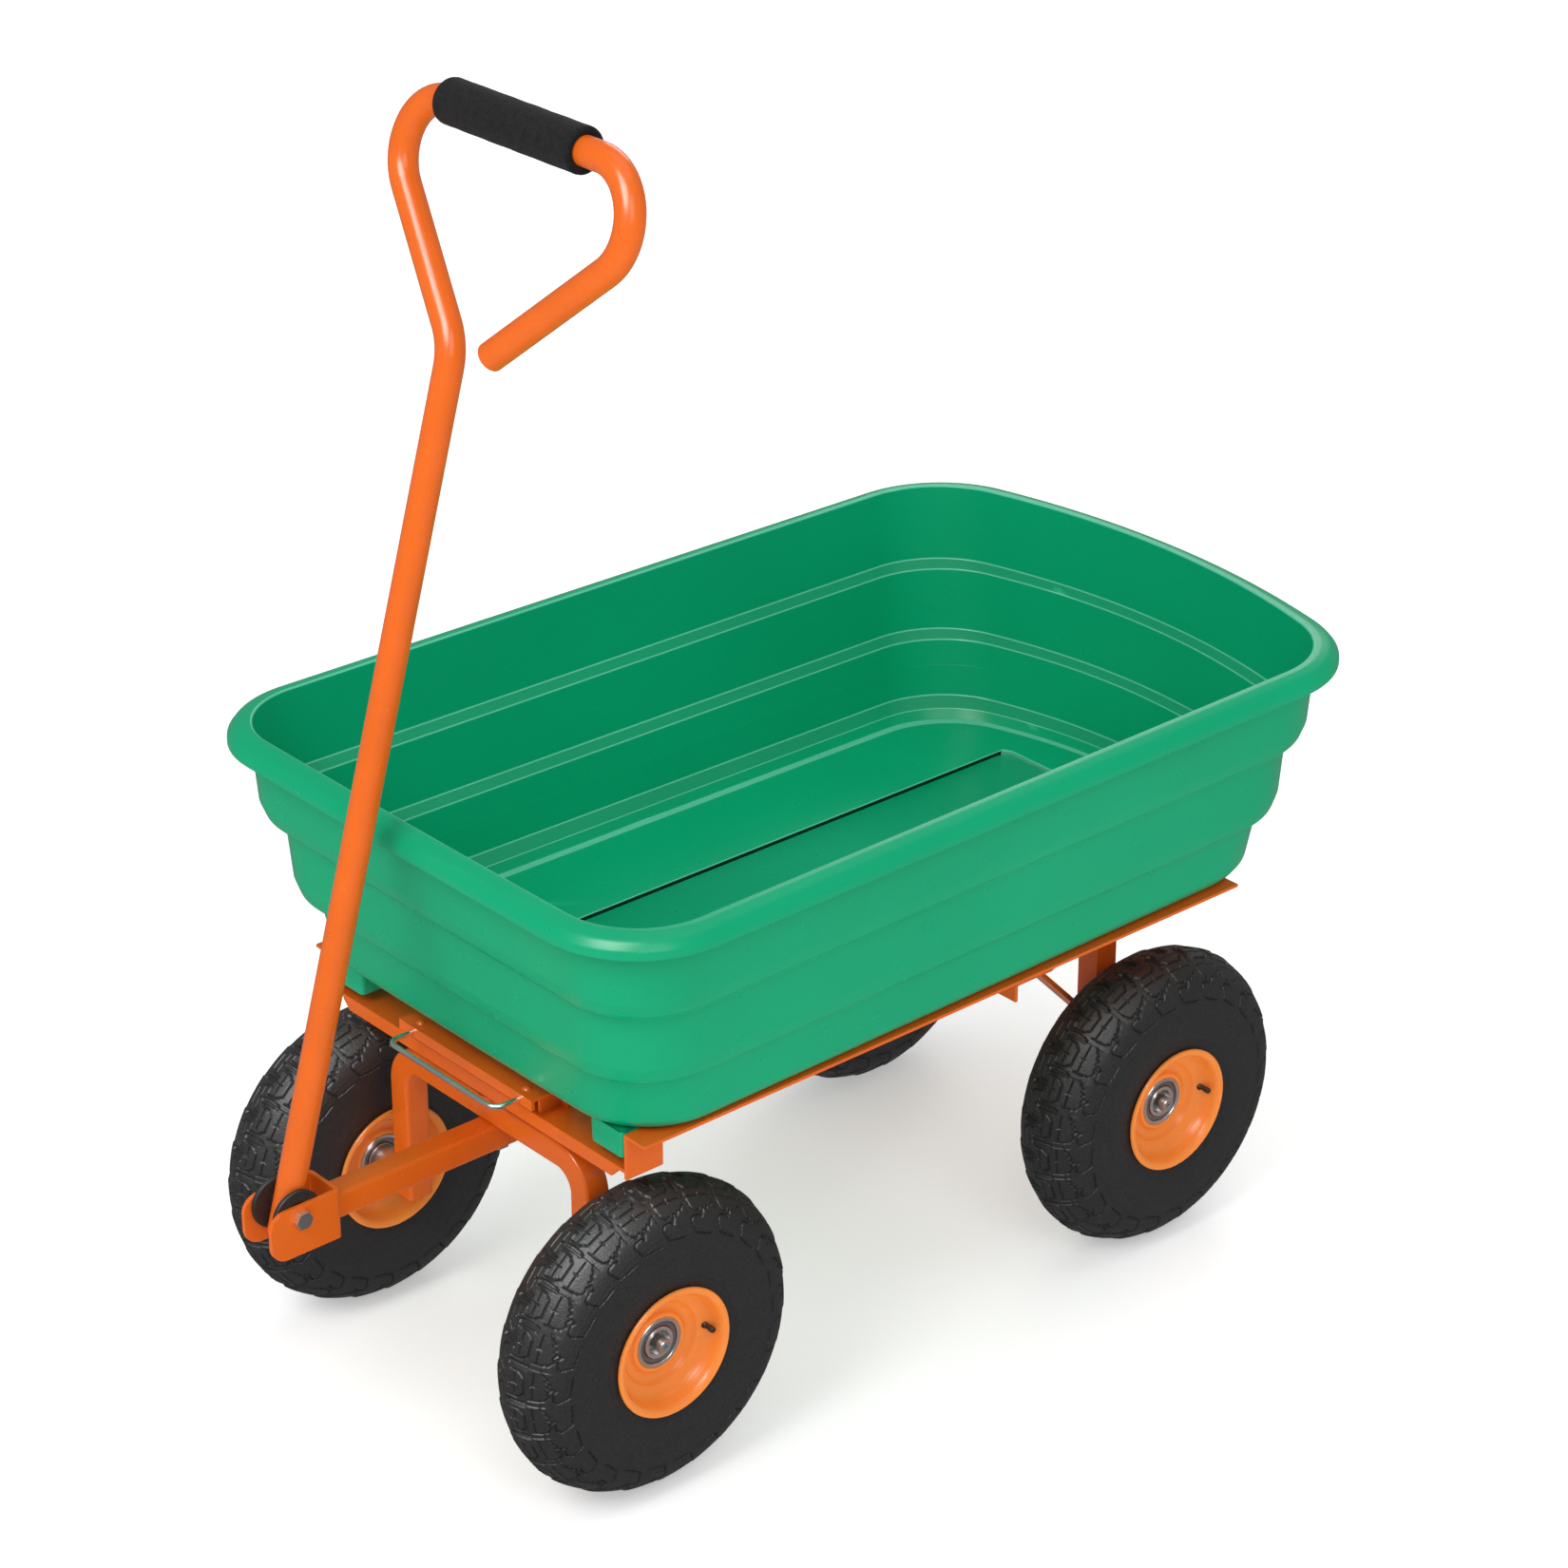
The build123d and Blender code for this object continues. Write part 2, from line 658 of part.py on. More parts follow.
def front_keeper():
    """Strip under the tub floor with two tabs that the bail's tips pass through."""
    under = tub_bottom_z - plate
    solid = block(keeper_x, (-80.0, 80.0), (under, tub_bottom_z))
    for side in (1, -1):
        y_tab = sorted((side * (bail_half_width - 8), side * (bail_half_width + 8)))
        solid += block(keeper_tab_x, y_tab, (bail_z - 7, under + 1))
        solid -= rod_along_x(side * bail_half_width, bail_z, (-30, 10), bail_wire_radius + free_gap)
    for x, y in keeper_screws:
        solid -= rod_along_z(x, y, (290, 320), screw_radius)
    return solid


bracket_ear_y = 98.0
bracket_ear_radius = 8.0


def hinge_brackets():
    """Two angle brackets under the tub floor, each with an ear round the tipping rod."""
    pivot_x, _, pivot_z = tip_pivot
    under = tub_bottom_z - plate
    brackets = []
    for side in (1, -1):
        y_ear = sorted((side * bracket_ear_y, side * (bracket_ear_y + plate)))
        y_base = sorted((side * 66.0, side * (bracket_ear_y + plate)))
        bracket = block((pivot_x, -540.0), y_base, (under, tub_bottom_z))
        bracket += block((pivot_x - bracket_ear_radius, pivot_x + bracket_ear_radius), y_ear,
                         (pivot_z, under + 1))
        bracket += rod_along_y(pivot_x, pivot_z, y_ear, bracket_ear_radius)
        bracket -= rod_along_y(pivot_x, pivot_z, (-200, 200), tip_rod_radius)
        for x, y in bracket_screws:
            bracket -= rod_along_z(x, y, (290, 320), screw_radius)
        brackets.append(bracket)
    return brackets


def tub_screws():
    """Hex screws under the floor; each shank stops at the floor's underside."""
    under = tub_bottom_z - plate
    screws = []
    for x, y in keeper_screws + bracket_screws:
        shank = rod_along_z(x, y, (under - 1, tub_bottom_z), screw_radius)
        screws.append(shank + Pos(x, y, under - 3.5) * hex_along(5.8, 3.5))
    return screws


def make_tub():
    export("tub", tub())
    export_pair("tub_runners", [runner(), mirrored_y(runner())])
    export("front_keeper", front_keeper())
    export_pair("hinge_brackets", hinge_brackets())
    export_pair("tub_screws", tub_screws())


# ---- release bail -------------------------------------------------------------------------
collar_x = (-4.6, -1.6)
spring_x = (-1.4, 25.5)
spring_radius = 2.85
spring_wire_radius = 0.3
spring_turns = 12
collar_radius = 3.3


def bail():
    """U of round wire: two legs through the channel, and the bar that the fingers pull."""
    path = FilletPolyline(
        (bail_tip_x, bail_half_width, bail_z), (bail_bar_x, bail_half_width, bail_z),
        (bail_bar_x, -bail_half_width, bail_z), (bail_tip_x, -bail_half_width, bail_z),
        radius=9.0,
    )
    section = Plane(origin=path @ 0, z_dir=path % 0) * Circle(bail_wire_radius)
    return sweep(section, path=path)


def bail_collars():
    collars = []
    for side in (1, -1):
        collar = rod_along_x(side * bail_half_width, bail_z, collar_x, collar_radius)
        collars.append(collar - rod_along_x(side * bail_half_width, bail_z, (-20, 20), bail_wire_radius))
    return collars


def latch_springs():
    """Compression springs between the collars and the channel's front wall."""
    length = spring_x[1] - spring_x[0] - 2 * spring_wire_radius
    springs = []
    for side in (1, -1):
        coil = Helix(pitch=length / spring_turns, height=length, radius=spring_radius)
        section = Plane(origin=coil @ 0, z_dir=coil % 0) * Circle(spring_wire_radius)
        spring = sweep(section, path=coil, is_frenet=True)
        place = Pos(spring_x[0] + spring_wire_radius, side * bail_half_width, bail_z)
        springs.append(place * Rot(0, 90, 0) * spring)
    return springs


def make_latch():
    export("bail", bail())
    export_pair("bail_collars", bail_collars())
    export_pair("latch_springs", latch_springs())


make_wheels()
make_chassis()
make_steering()
make_handle()
make_tub()
make_latch()
print("origin shift", round(origin_shift, 3))
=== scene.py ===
import json
import math
import random

import bmesh
import bpy
import numpy as np
from mathutils import Matrix, Vector


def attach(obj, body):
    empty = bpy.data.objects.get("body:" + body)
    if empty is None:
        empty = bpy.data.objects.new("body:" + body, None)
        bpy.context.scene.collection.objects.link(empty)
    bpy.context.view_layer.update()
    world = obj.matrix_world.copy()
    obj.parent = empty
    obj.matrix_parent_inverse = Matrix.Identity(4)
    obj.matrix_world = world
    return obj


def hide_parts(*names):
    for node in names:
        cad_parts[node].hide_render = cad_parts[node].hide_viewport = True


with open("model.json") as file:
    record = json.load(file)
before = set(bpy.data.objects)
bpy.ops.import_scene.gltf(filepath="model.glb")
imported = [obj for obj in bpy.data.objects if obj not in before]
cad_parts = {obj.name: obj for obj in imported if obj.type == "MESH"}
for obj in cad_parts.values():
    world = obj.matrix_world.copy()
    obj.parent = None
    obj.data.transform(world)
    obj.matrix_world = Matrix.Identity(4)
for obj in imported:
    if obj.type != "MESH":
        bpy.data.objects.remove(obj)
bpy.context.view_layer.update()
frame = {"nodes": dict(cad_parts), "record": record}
random.seed(7)

MM = 0.001
SHIFT = 251.45            # the frame's x for the point under the front axle, in mm
WHEELBASE = 532.0
TRACK_HALF = 173.3
AXLE_Z = 128.0


def place(x, y, z):
    """A point laid out from under the front axle, in mm, as a point of the row frame."""
    return Vector(((x + SHIFT) * MM, y * MM, z * MM))


# ---- materials ----------------------------------------------------------------------------
def new_material(name, color, roughness, metallic=0.0, coat=0.0):
    material = bpy.data.materials.new(name)
    material.use_nodes = True
    shader = material.node_tree.nodes["Principled BSDF"]
    shader.inputs["Base Color"].default_value = (*color, 1.0)
    shader.inputs["Roughness"].default_value = roughness
    shader.inputs["Metallic"].default_value = metallic
    shader.inputs["Coat Weight"].default_value = coat
    shader.inputs["Coat Roughness"].default_value = 0.12
    return material, material.node_tree, shader


def noise(tree, scale, detail=3.0, stretch=(1.0, 1.0, 1.0)):
    nodes, links = tree.nodes, tree.links
    place_node = nodes.new("ShaderNodeTexCoord")
    mapping = nodes.new("ShaderNodeMapping")
    mapping.inputs["Scale"].default_value = stretch
    texture = nodes.new("ShaderNodeTexNoise")
    texture.inputs["Scale"].default_value = scale
    texture.inputs["Detail"].default_value = detail
    links.new(place_node.outputs["Object"], mapping.inputs["Vector"])
    links.new(mapping.outputs["Vector"], texture.inputs["Vector"])
    return texture.outputs["Fac"]


def ramp(tree, factor, stops):
    node = tree.nodes.new("ShaderNodeValToRGB")
    while len(node.color_ramp.elements) < len(stops):
        node.color_ramp.elements.new(0.5)
    for element, (position, color) in zip(node.color_ramp.elements, stops):
        element.position = position
        element.color = (*color, 1.0)
    tree.links.new(factor, node.inputs["Fac"])
    return node.outputs["Color"]


def remap(tree, factor, low, high):
    node = tree.nodes.new("ShaderNodeMapRange")
    node.inputs["To Min"].default_value = low
    node.inputs["To Max"].default_value = high
    tree.links.new(factor, node.inputs["Value"])
    return node.outputs["Result"]


def bump(tree, shader, height, strength, distance):
    node = tree.nodes.new("ShaderNodeBump")
    node.inputs["Strength"].default_value = strength
    node.inputs["Distance"].default_value = distance
    tree.links.new(height, node.inputs["Height"])
    tree.links.new(node.outputs["Normal"], shader.inputs["Normal"])


def edge_mask(tree, low, high):
    """1 along convex edges, 0 elsewhere."""
    geometry = tree.nodes.new("ShaderNodeNewGeometry")
    node = tree.nodes.new("ShaderNodeMapRange")
    node.inputs["From Min"].default_value = low
    node.inputs["From Max"].default_value = high
    tree.links.new(geometry.outputs["Pointiness"], node.inputs["Value"])
    return node.outputs["Result"]


def mix_color(tree, factor, first, second):
    node = tree.nodes.new("ShaderNodeMix")
    node.data_type = "RGBA"
    tree.links.new(factor, node.inputs["Factor"])
    for socket, value in ((node.inputs["A"], first), (node.inputs["B"], second)):
        if isinstance(value, tuple):
            socket.default_value = (*value, 1.0)
        else:
            tree.links.new(value, socket)
    return node.outputs["Result"]


def painted(name, base, edge_highlight, roughness):
    """Powder coat: slight mottling, faint orange peel, and a paler painted highlight along convex edges."""
    material, tree, shader = new_material(name, base, roughness, coat=0.16)
    shader.inputs["Specular IOR Level"].default_value = 0.34
    mottled = ramp(tree, noise(tree, 22.0), [
        (0.35, tuple(c * 0.96 for c in base)), (0.65, tuple(min(1.0, c * 1.03) for c in base))])
    # the colour mixed in along convex edges is a painted highlight
    edges = mix_color(tree, edge_mask(tree, 0.60, 0.80), mottled, edge_highlight)
    tree.links.new(edges, shader.inputs["Base Color"])
    tree.links.new(remap(tree, noise(tree, 60.0), roughness - 0.05, roughness + 0.05),
                   shader.inputs["Roughness"])
    bump(tree, shader, noise(tree, 420.0, 2.0), 0.03, 0.0002)
    return material


def moulded(name, base, light, dark):
    """Satin moulded plastic: soft tone drift, very fine grain, and a pale painted highlight along convex edges."""
    material, tree, shader = new_material(name, base, 0.30)
    shader.inputs["Specular IOR Level"].default_value = 0.26
    drift = ramp(tree, noise(tree, 5.0, 2.0), [(0.3, dark), (0.7, base)])
    # the light colour mixed in along convex edges is a painted highlight
    edges = mix_color(tree, edge_mask(tree, 0.52, 0.62), drift, light)
    tree.links.new(edges, shader.inputs["Base Color"])
    tree.links.new(remap(tree, noise(tree, 34.0), 0.24, 0.34), shader.inputs["Roughness"])
    bump(tree, shader, noise(tree, 420.0, 2.0), 0.04, 0.0001)
    return material


def groove_mask(tree):
    """1 where the surface turns sharply either way, as along a tread groove, 0 elsewhere."""
    geometry = tree.nodes.new("ShaderNodeNewGeometry")
    offset = tree.nodes.new("ShaderNodeMath")
    offset.operation = "SUBTRACT"
    offset.inputs[1].default_value = 0.5
    size = tree.nodes.new("ShaderNodeMath")
    size.operation = "ABSOLUTE"
    node = tree.nodes.new("ShaderNodeMapRange")
    node.inputs["From Min"].default_value = 0.012
    node.inputs["From Max"].default_value = 0.05
    tree.links.new(geometry.outputs["Pointiness"], offset.inputs[0])
    tree.links.new(offset.outputs["Value"], size.inputs[0])
    tree.links.new(size.outputs["Value"], node.inputs["Value"])
    return node.outputs["Result"]


def rubber(name, base, light, grain, strength, shine):
    """Moulded rubber: fine pebble grain, speckled tone, shine as a (low, high) roughness, and
    rougher edges along its grooves, darkened near black as painted shade."""
    material, tree, shader = new_material(name, base, 0.6)
    shader.inputs["Specular IOR Level"].default_value = 0.9
    speckle = ramp(tree, noise(tree, grain, 4.0), [(0.36, base), (0.72, light)])
    grooves = groove_mask(tree)
    # the grooves' near-black colour is painted shade; their raised roughness dulls them
    tree.links.new(mix_color(tree, grooves, speckle, (0.0015, 0.0015, 0.0015)), shader.inputs["Base Color"])
    dulled = tree.nodes.new("ShaderNodeMath")
    dulled.operation = "MAXIMUM"
    tree.links.new(remap(tree, noise(tree, 40.0), *shine), dulled.inputs[0])
    tree.links.new(grooves, dulled.inputs[1])
    tree.links.new(dulled.outputs["Value"], shader.inputs["Roughness"])
    bump(tree, shader, noise(tree, grain, 4.0), strength, 0.0005)
    return material


def foam(name):
    material, tree, shader = new_material(name, (0.006, 0.006, 0.006), 0.92)
    shader.inputs["Specular IOR Level"].default_value = 0.2
    shader.inputs["Sheen Weight"].default_value = 0.04
    cells = tree.nodes.new("ShaderNodeTexVoronoi")
    cells.inputs["Scale"].default_value = 900.0
    coordinate = tree.nodes.new("ShaderNodeTexCoord")
    tree.links.new(coordinate.outputs["Object"], cells.inputs["Vector"])
    tone = ramp(tree, noise(tree, 300.0, 5.0), [(0.3, (0.004, 0.004, 0.004)), (0.75, (0.012, 0.012, 0.013))])
    tree.links.new(tone, shader.inputs["Base Color"])
    bump(tree, shader, cells.outputs["Distance"], 0.5, 0.0004)
    return material


def metal(name, color, low, high, stretch=(1.0, 1.0, 1.0), scale=160.0):
    material, tree, shader = new_material(name, color, (low + high) / 2, metallic=1.0)
    brushed = noise(tree, scale, 4.0, stretch)
    tree.links.new(remap(tree, brushed, low, high), shader.inputs["Roughness"])
    tone = ramp(tree, noise(tree, 45.0), [
        (0.3, tuple(c * 0.86 for c in color)), (0.7, color)])
    tree.links.new(tone, shader.inputs["Base Color"])
    bump(tree, shader, brushed, 0.05, 0.0001)
    return material


# the third colour of each painted() finish is its painted edge highlight
ORANGE = painted("orange_powder_coat", (0.75, 0.128, 0.009), (0.90, 0.26, 0.06), 0.26)
WHEEL_ORANGE = painted("wheel_orange", (0.90, 0.26, 0.042), (0.95, 0.34, 0.10), 0.24)
# moulded() colours: base, painted edge highlight, darker drift tone
GREEN = moulded("green_plastic", (0.001, 0.375, 0.172), (0.04, 0.52, 0.30), (0.001, 0.345, 0.155))
# a darker copy of the green for the upward-facing ledges inside the tub: painted shade, since the top light shows
# them brighter than the walls
GREEN_LEDGE_SHADE = moulded("green_ledge_painted_shade", (0.001, 0.315, 0.142), (0.04, 0.52, 0.30), (0.001, 0.29, 0.13))
TYRE = rubber("tyre_rubber", (0.0065, 0.0065, 0.007), (0.018, 0.018, 0.019), 620.0, 0.80, (0.46, 0.58))
VALVE = rubber("valve_rubber", (0.008, 0.008, 0.008), (0.016, 0.016, 0.016), 700.0, 0.2, (0.35, 0.5))
# a paler green for the lines along the inner creases and the rim's top: painted highlight
GREEN_CREASE_HIGHLIGHT = moulded("green_crease_painted_highlight", (0.12, 0.56, 0.37), (0.18, 0.64, 0.46), (0.10, 0.50, 0.32))
# a near-black green for the floor panel's seam: painted shade
GREEN_SEAM_SHADE = moulded("green_seam_painted_shade", (0.001, 0.050, 0.026), (0.001, 0.07, 0.035), (0.001, 0.04, 0.02))
FOAM = foam("grip_foam")
DISC = rubber("disc_plastic", (0.008, 0.008, 0.008), (0.015, 0.015, 0.015), 900.0, 0.12, (0.45, 0.6))
ZINC = metal("zinc_plate", (0.88, 0.88, 0.86), 0.28, 0.44)
CHROME = metal("chrome", (0.95, 0.95, 0.95), 0.20, 0.30)
RACE = metal("bearing_race", (0.96, 0.96, 0.96), 0.20, 0.30)
SHIELD = metal("bearing_shield", (0.42, 0.42, 0.44), 0.34, 0.48)
STEEL = metal("axle_steel", (0.80, 0.80, 0.79), 0.28, 0.42)

BODY_OF = {node: body for body, nodes in frame["record"]["behaviour"]["bodies"].items() for node in nodes}


# ---- mesh helpers -------------------------------------------------------------------------
def add_piece(name, mesh, material, body, replaced=(), sharp=35.0):
    """Put a finished mesh into the scene as one piece that rides on a CAD body."""
    mesh.materials.clear()
    mesh.materials.append(material)
    for polygon in mesh.polygons:
        polygon.use_smooth = True
    mesh.set_sharp_from_angle(angle=math.radians(sharp))
    piece = bpy.data.objects.new(name, mesh)
    bpy.context.scene.collection.objects.link(piece)
    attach(piece, body)
    if replaced:
        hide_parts(*replaced)
    return piece


def mesh_from(name, points, faces):
    mesh = bpy.data.meshes.new(name)
    mesh.from_pydata([tuple(p) for p in points], [], faces)
    mesh.validate()
    work = bmesh.new()
    work.from_mesh(mesh)
    bmesh.ops.recalc_face_normals(work, faces=work.faces)
    work.to_mesh(mesh)
    work.free()
    return mesh


def grid_faces(rows, columns, close_rows, close_columns):
    """Quads over a rows x columns lattice of points, optionally wrapped either way."""
    faces = []
    for i in range(rows if close_rows else rows - 1):
        for j in range(columns if close_columns else columns - 1):
            a = i * columns + j
            b = i * columns + (j + 1) % columns
            c = ((i + 1) % rows) * columns + (j + 1) % columns
            d = ((i + 1) % rows) * columns + j
            faces.append((a, b, c, d))
    return faces


def rounded(points, radius, closed=False, steps=4):
    """The polyline with each corner replaced by an arc. radius is one number, or one per corner."""
    points = [np.array(p, float) for p in points]
    count = len(points)
    result = []
    for i, corner in enumerate(points):
        if not closed and i in (0, count - 1):
            result.append(corner)
            continue
        size = radius[i] if hasattr(radius, "__len__") else radius
        before = points[i - 1] - corner
        after = points[(i + 1) % count] - corner
        length_before, length_after = np.linalg.norm(before), np.linalg.norm(after)
        before, after = before / length_before, after / length_after
        inner = math.acos(max(-1.0, min(1.0, float(before @ after))))
        if size <= 0 or inner > math.pi - 0.02:
            result.append(corner)
            continue
        reach = min(size / math.tan(inner / 2), 0.46 * length_before, 0.46 * length_after)
        arc_radius = reach * math.tan(inner / 2)
        bisector = (before + after) / np.linalg.norm(before + after)
        centre = corner + bisector * arc_radius / math.sin(inner / 2)
        start = corner + before * reach - centre
        end = corner + after * reach - centre
        sweep = math.pi - inner
        number = max(2, int(math.ceil(steps * sweep / (math.pi / 2))) + 1)
        for k in range(number + 1):
            t = k / number
            mix = (math.sin((1 - t) * sweep) * start + math.sin(t * sweep) * end) / math.sin(sweep)
            result.append(centre + mix)
    return result


def revolved(name, profile, segments=96):
    """Closed (radius, y) profile turned about the Y axis, centred on the origin, in mm."""
    points = []
    for k in range(segments):
        angle = 2 * math.pi * k / segments
        for r, y in profile:
            points.append((r * math.cos(angle) * MM, y * MM, r * math.sin(angle) * MM))
    return mesh_from(name, points, grid_faces(segments, len(profile), True, True))


def mirrored(mesh):
    copy = mesh.copy()
    copy.transform(Matrix.Diagonal((1, -1, 1, 1)))
    copy.flip_normals()
    return copy


def swept(name, path, section, wall_section=None):
    """Section carried along a 3-D path in mm without twisting. With a wall section it is an
    open tube: the inner surface comes back the other way."""
    path = [np.array(p, float) for p in path]
    tangents = []
    for i in range(len(path)):
        step = path[min(i + 1, len(path) - 1)] - path[max(i - 1, 0)]
        tangents.append(step / np.linalg.norm(step))
    side = np.cross(tangents[0], (0.0, 0.0, 1.0))
    if np.linalg.norm(side) < 0.1:
        side = np.cross(tangents[0], (1.0, 0.0, 0.0))
    side /= np.linalg.norm(side)
    frames = []
    for tangent in tangents:
        side = side - tangent * (side @ tangent)
        side /= np.linalg.norm(side)
        frames.append((side, np.cross(tangent, side)))
    rows = []
    for centre, (u, v) in zip(path, frames):
        rows.append([centre + u * a + v * b for a, b in section])
    if wall_section is not None:
        for centre, (u, v) in reversed(list(zip(path, frames))):
            rows.append([centre + u * a + v * b for a, b in wall_section])
    count = len(section)
    points = [place(*p) for row in rows for p in row]
    faces = grid_faces(len(rows), count, wall_section is not None, True)
    if wall_section is None:
        faces.append(tuple(range(count)))
        faces.append(tuple(range((len(rows) - 1) * count, len(rows) * count)))
    return mesh_from(name, points, faces)


def circle(radius, segments=28):
    return [(radius * math.cos(2 * math.pi * k / segments), radius * math.sin(2 * math.pi * k / segments))
            for k in range(segments)]


def square(half, corner, steps=5):
    return [tuple(p) for p in rounded([(-half, -half), (half, -half), (half, half), (-half, half)],
                                      corner, closed=True, steps=steps)]


def join_meshes(name, meshes):
    work = bmesh.new()
    for mesh in meshes:
        work.from_mesh(mesh)
    joined = bpy.data.meshes.new(name)
    work.to_mesh(joined)
    work.free()
    return joined


def softened(node, width, material, segments=2, shaped=None):
    """A finished copy of a CAD solid: flat faces merged, then every crisp edge rounded. shaped, if
    given, moves each vertex a little first."""
    mesh = frame["nodes"][node].data.copy()
    work = bmesh.new()
    work.from_mesh(mesh)
    bmesh.ops.remove_doubles(work, verts=work.verts, dist=1e-6)
    bmesh.ops.dissolve_limit(work, angle_limit=math.radians(1.0), verts=work.verts, edges=work.edges)
    for vertex in work.verts:
        if shaped:
            shaped(vertex.co)
    work.to_mesh(mesh)
    work.free()
    piece = add_piece(f"{node}_finished", mesh, material, BODY_OF[node], [node], 30.0)
    bevel = piece.modifiers.new("rounded_edges", "BEVEL")
    bevel.width = width * MM
    bevel.segments = segments
    bevel.limit_method = "ANGLE"
    bevel.angle_limit = math.radians(38.0)
    bevel.harden_normals = True
    return piece


# ---- wheels -------------------------------------------------------------------------------
TYRE_RADIUS = 128.0
TREAD_REPEATS = 25
TYRE_STEPS_AROUND = 36
TREAD_PITCH = 2 * math.pi * TYRE_RADIUS / TREAD_REPEATS

# grooves on one side of one tread repeat: points as (share of the pitch, mm from the crown),
# half width and depth; the other side repeats them half a pitch on
TREAD_GROOVES = [
    ([(0.94, 0.0), (0.95, 9.0), (0.93, 15.0)], 1.9, 2.5),
    ([(0.08, -1.0), (0.10, 9.0), (0.22, 14.5), (0.64, 14.5), (0.78, 9.0), (0.80, -1.0)], 0.40, 1.7),
    ([(0.17, 6.2), (0.40, 6.2)], 0.30, 1.5),
    ([(0.50, 6.2), (0.72, 6.2)], 0.30, 1.5),
    ([(0.45, 4.0), (0.45, 8.4)], 0.30, 1.5),
    ([(0.09, 18.6), (0.09, 26.0), (0.13, 31.5), (0.25, 34.6), (0.38, 33.2), (0.45, 36.2), (0.53, 32.4),
      (0.61, 34.4), (0.69, 30.8), (0.76, 32.2), (0.84, 28.6), (0.93, 27.4)], 0.38, 1.5),
    ([(0.09, 21.6), (0.45, 21.6)], 0.32, 1.4),
    ([(0.53, 21.6), (0.86, 21.6)], 0.32, 1.4),
    ([(0.49, 19.4), (0.49, 23.4)], 0.30, 1.3),
    ([(0.50, 35.6), (0.42, 39.8), (0.34, 37.6), (0.12, 37.9), (0.03, 41.0), (0.15, 50.5)], 0.42, 1.5),
    ([(0.15, 50.5), (0.50, 52.0), (0.82, 52.2)], 0.40, 1.3),
]
TREAD_LINES = TREAD_GROOVES + [([(u + 0.5, -v) for u, v in points], half, full)
                               for points, half, full in TREAD_GROOVES]
TREAD_SHARE = 0.72    # how much of each groove's depth is cut


def groove_depth(u, v):
    """Depth of the tread pattern in mm at u (mm along the crown) and v (mm across from it)."""
    depth = np.zeros_like(v)
    for corners, half_width, full in TREAD_LINES:
        for (u0, v0), (u1, v1) in zip(corners, corners[1:]):
            for turn in (-1, 0, 1):
                ax, ay = (u0 + turn) * TREAD_PITCH, v0
                dx, dy = (u1 - u0) * TREAD_PITCH, v1 - v0
                t = np.clip(((u - ax) * dx + (v - ay) * dy) / (dx * dx + dy * dy), 0, 1)
                distance = np.hypot(u - ax - t * dx, v - ay - t * dy)
                wall = np.clip((half_width + 0.5 - distance) / 0.5, 0, 1)
                depth = np.maximum(depth, TREAD_SHARE * full * wall * wall * (3 - 2 * wall))
    return depth


def tyre_profile():
    """Evenly spaced (radius, y) points over the outside, with the distance from the crown."""
    keys = [(48.3, 34.0), (54.6, 34.1), (60.0, 34.8), (67.0, 36.5), (77.0, 37.8), (88.0, 37.7), (98.0, 36.2),
            (107.0, 33.4), (114.5, 28.8), (120.6, 22.0), (125.2, 13.0), (127.6, 4.5), (128.0, 0.0)]
    half = rounded(keys, 30.0, steps=10)
    full = half + [np.array((r, -y)) for r, y in half[-2::-1]]
    full = np.array(full)
    steps = np.hypot(*np.diff(full, axis=0).T)
    along = np.concatenate([[0.0], np.cumsum(steps)])
    count = 250
    even = np.linspace(0, along[-1], count)
    r = np.interp(even, along, full[:, 0])
    y = np.interp(even, along, full[:, 1])
    return r, y, along[-1] / 2 - even


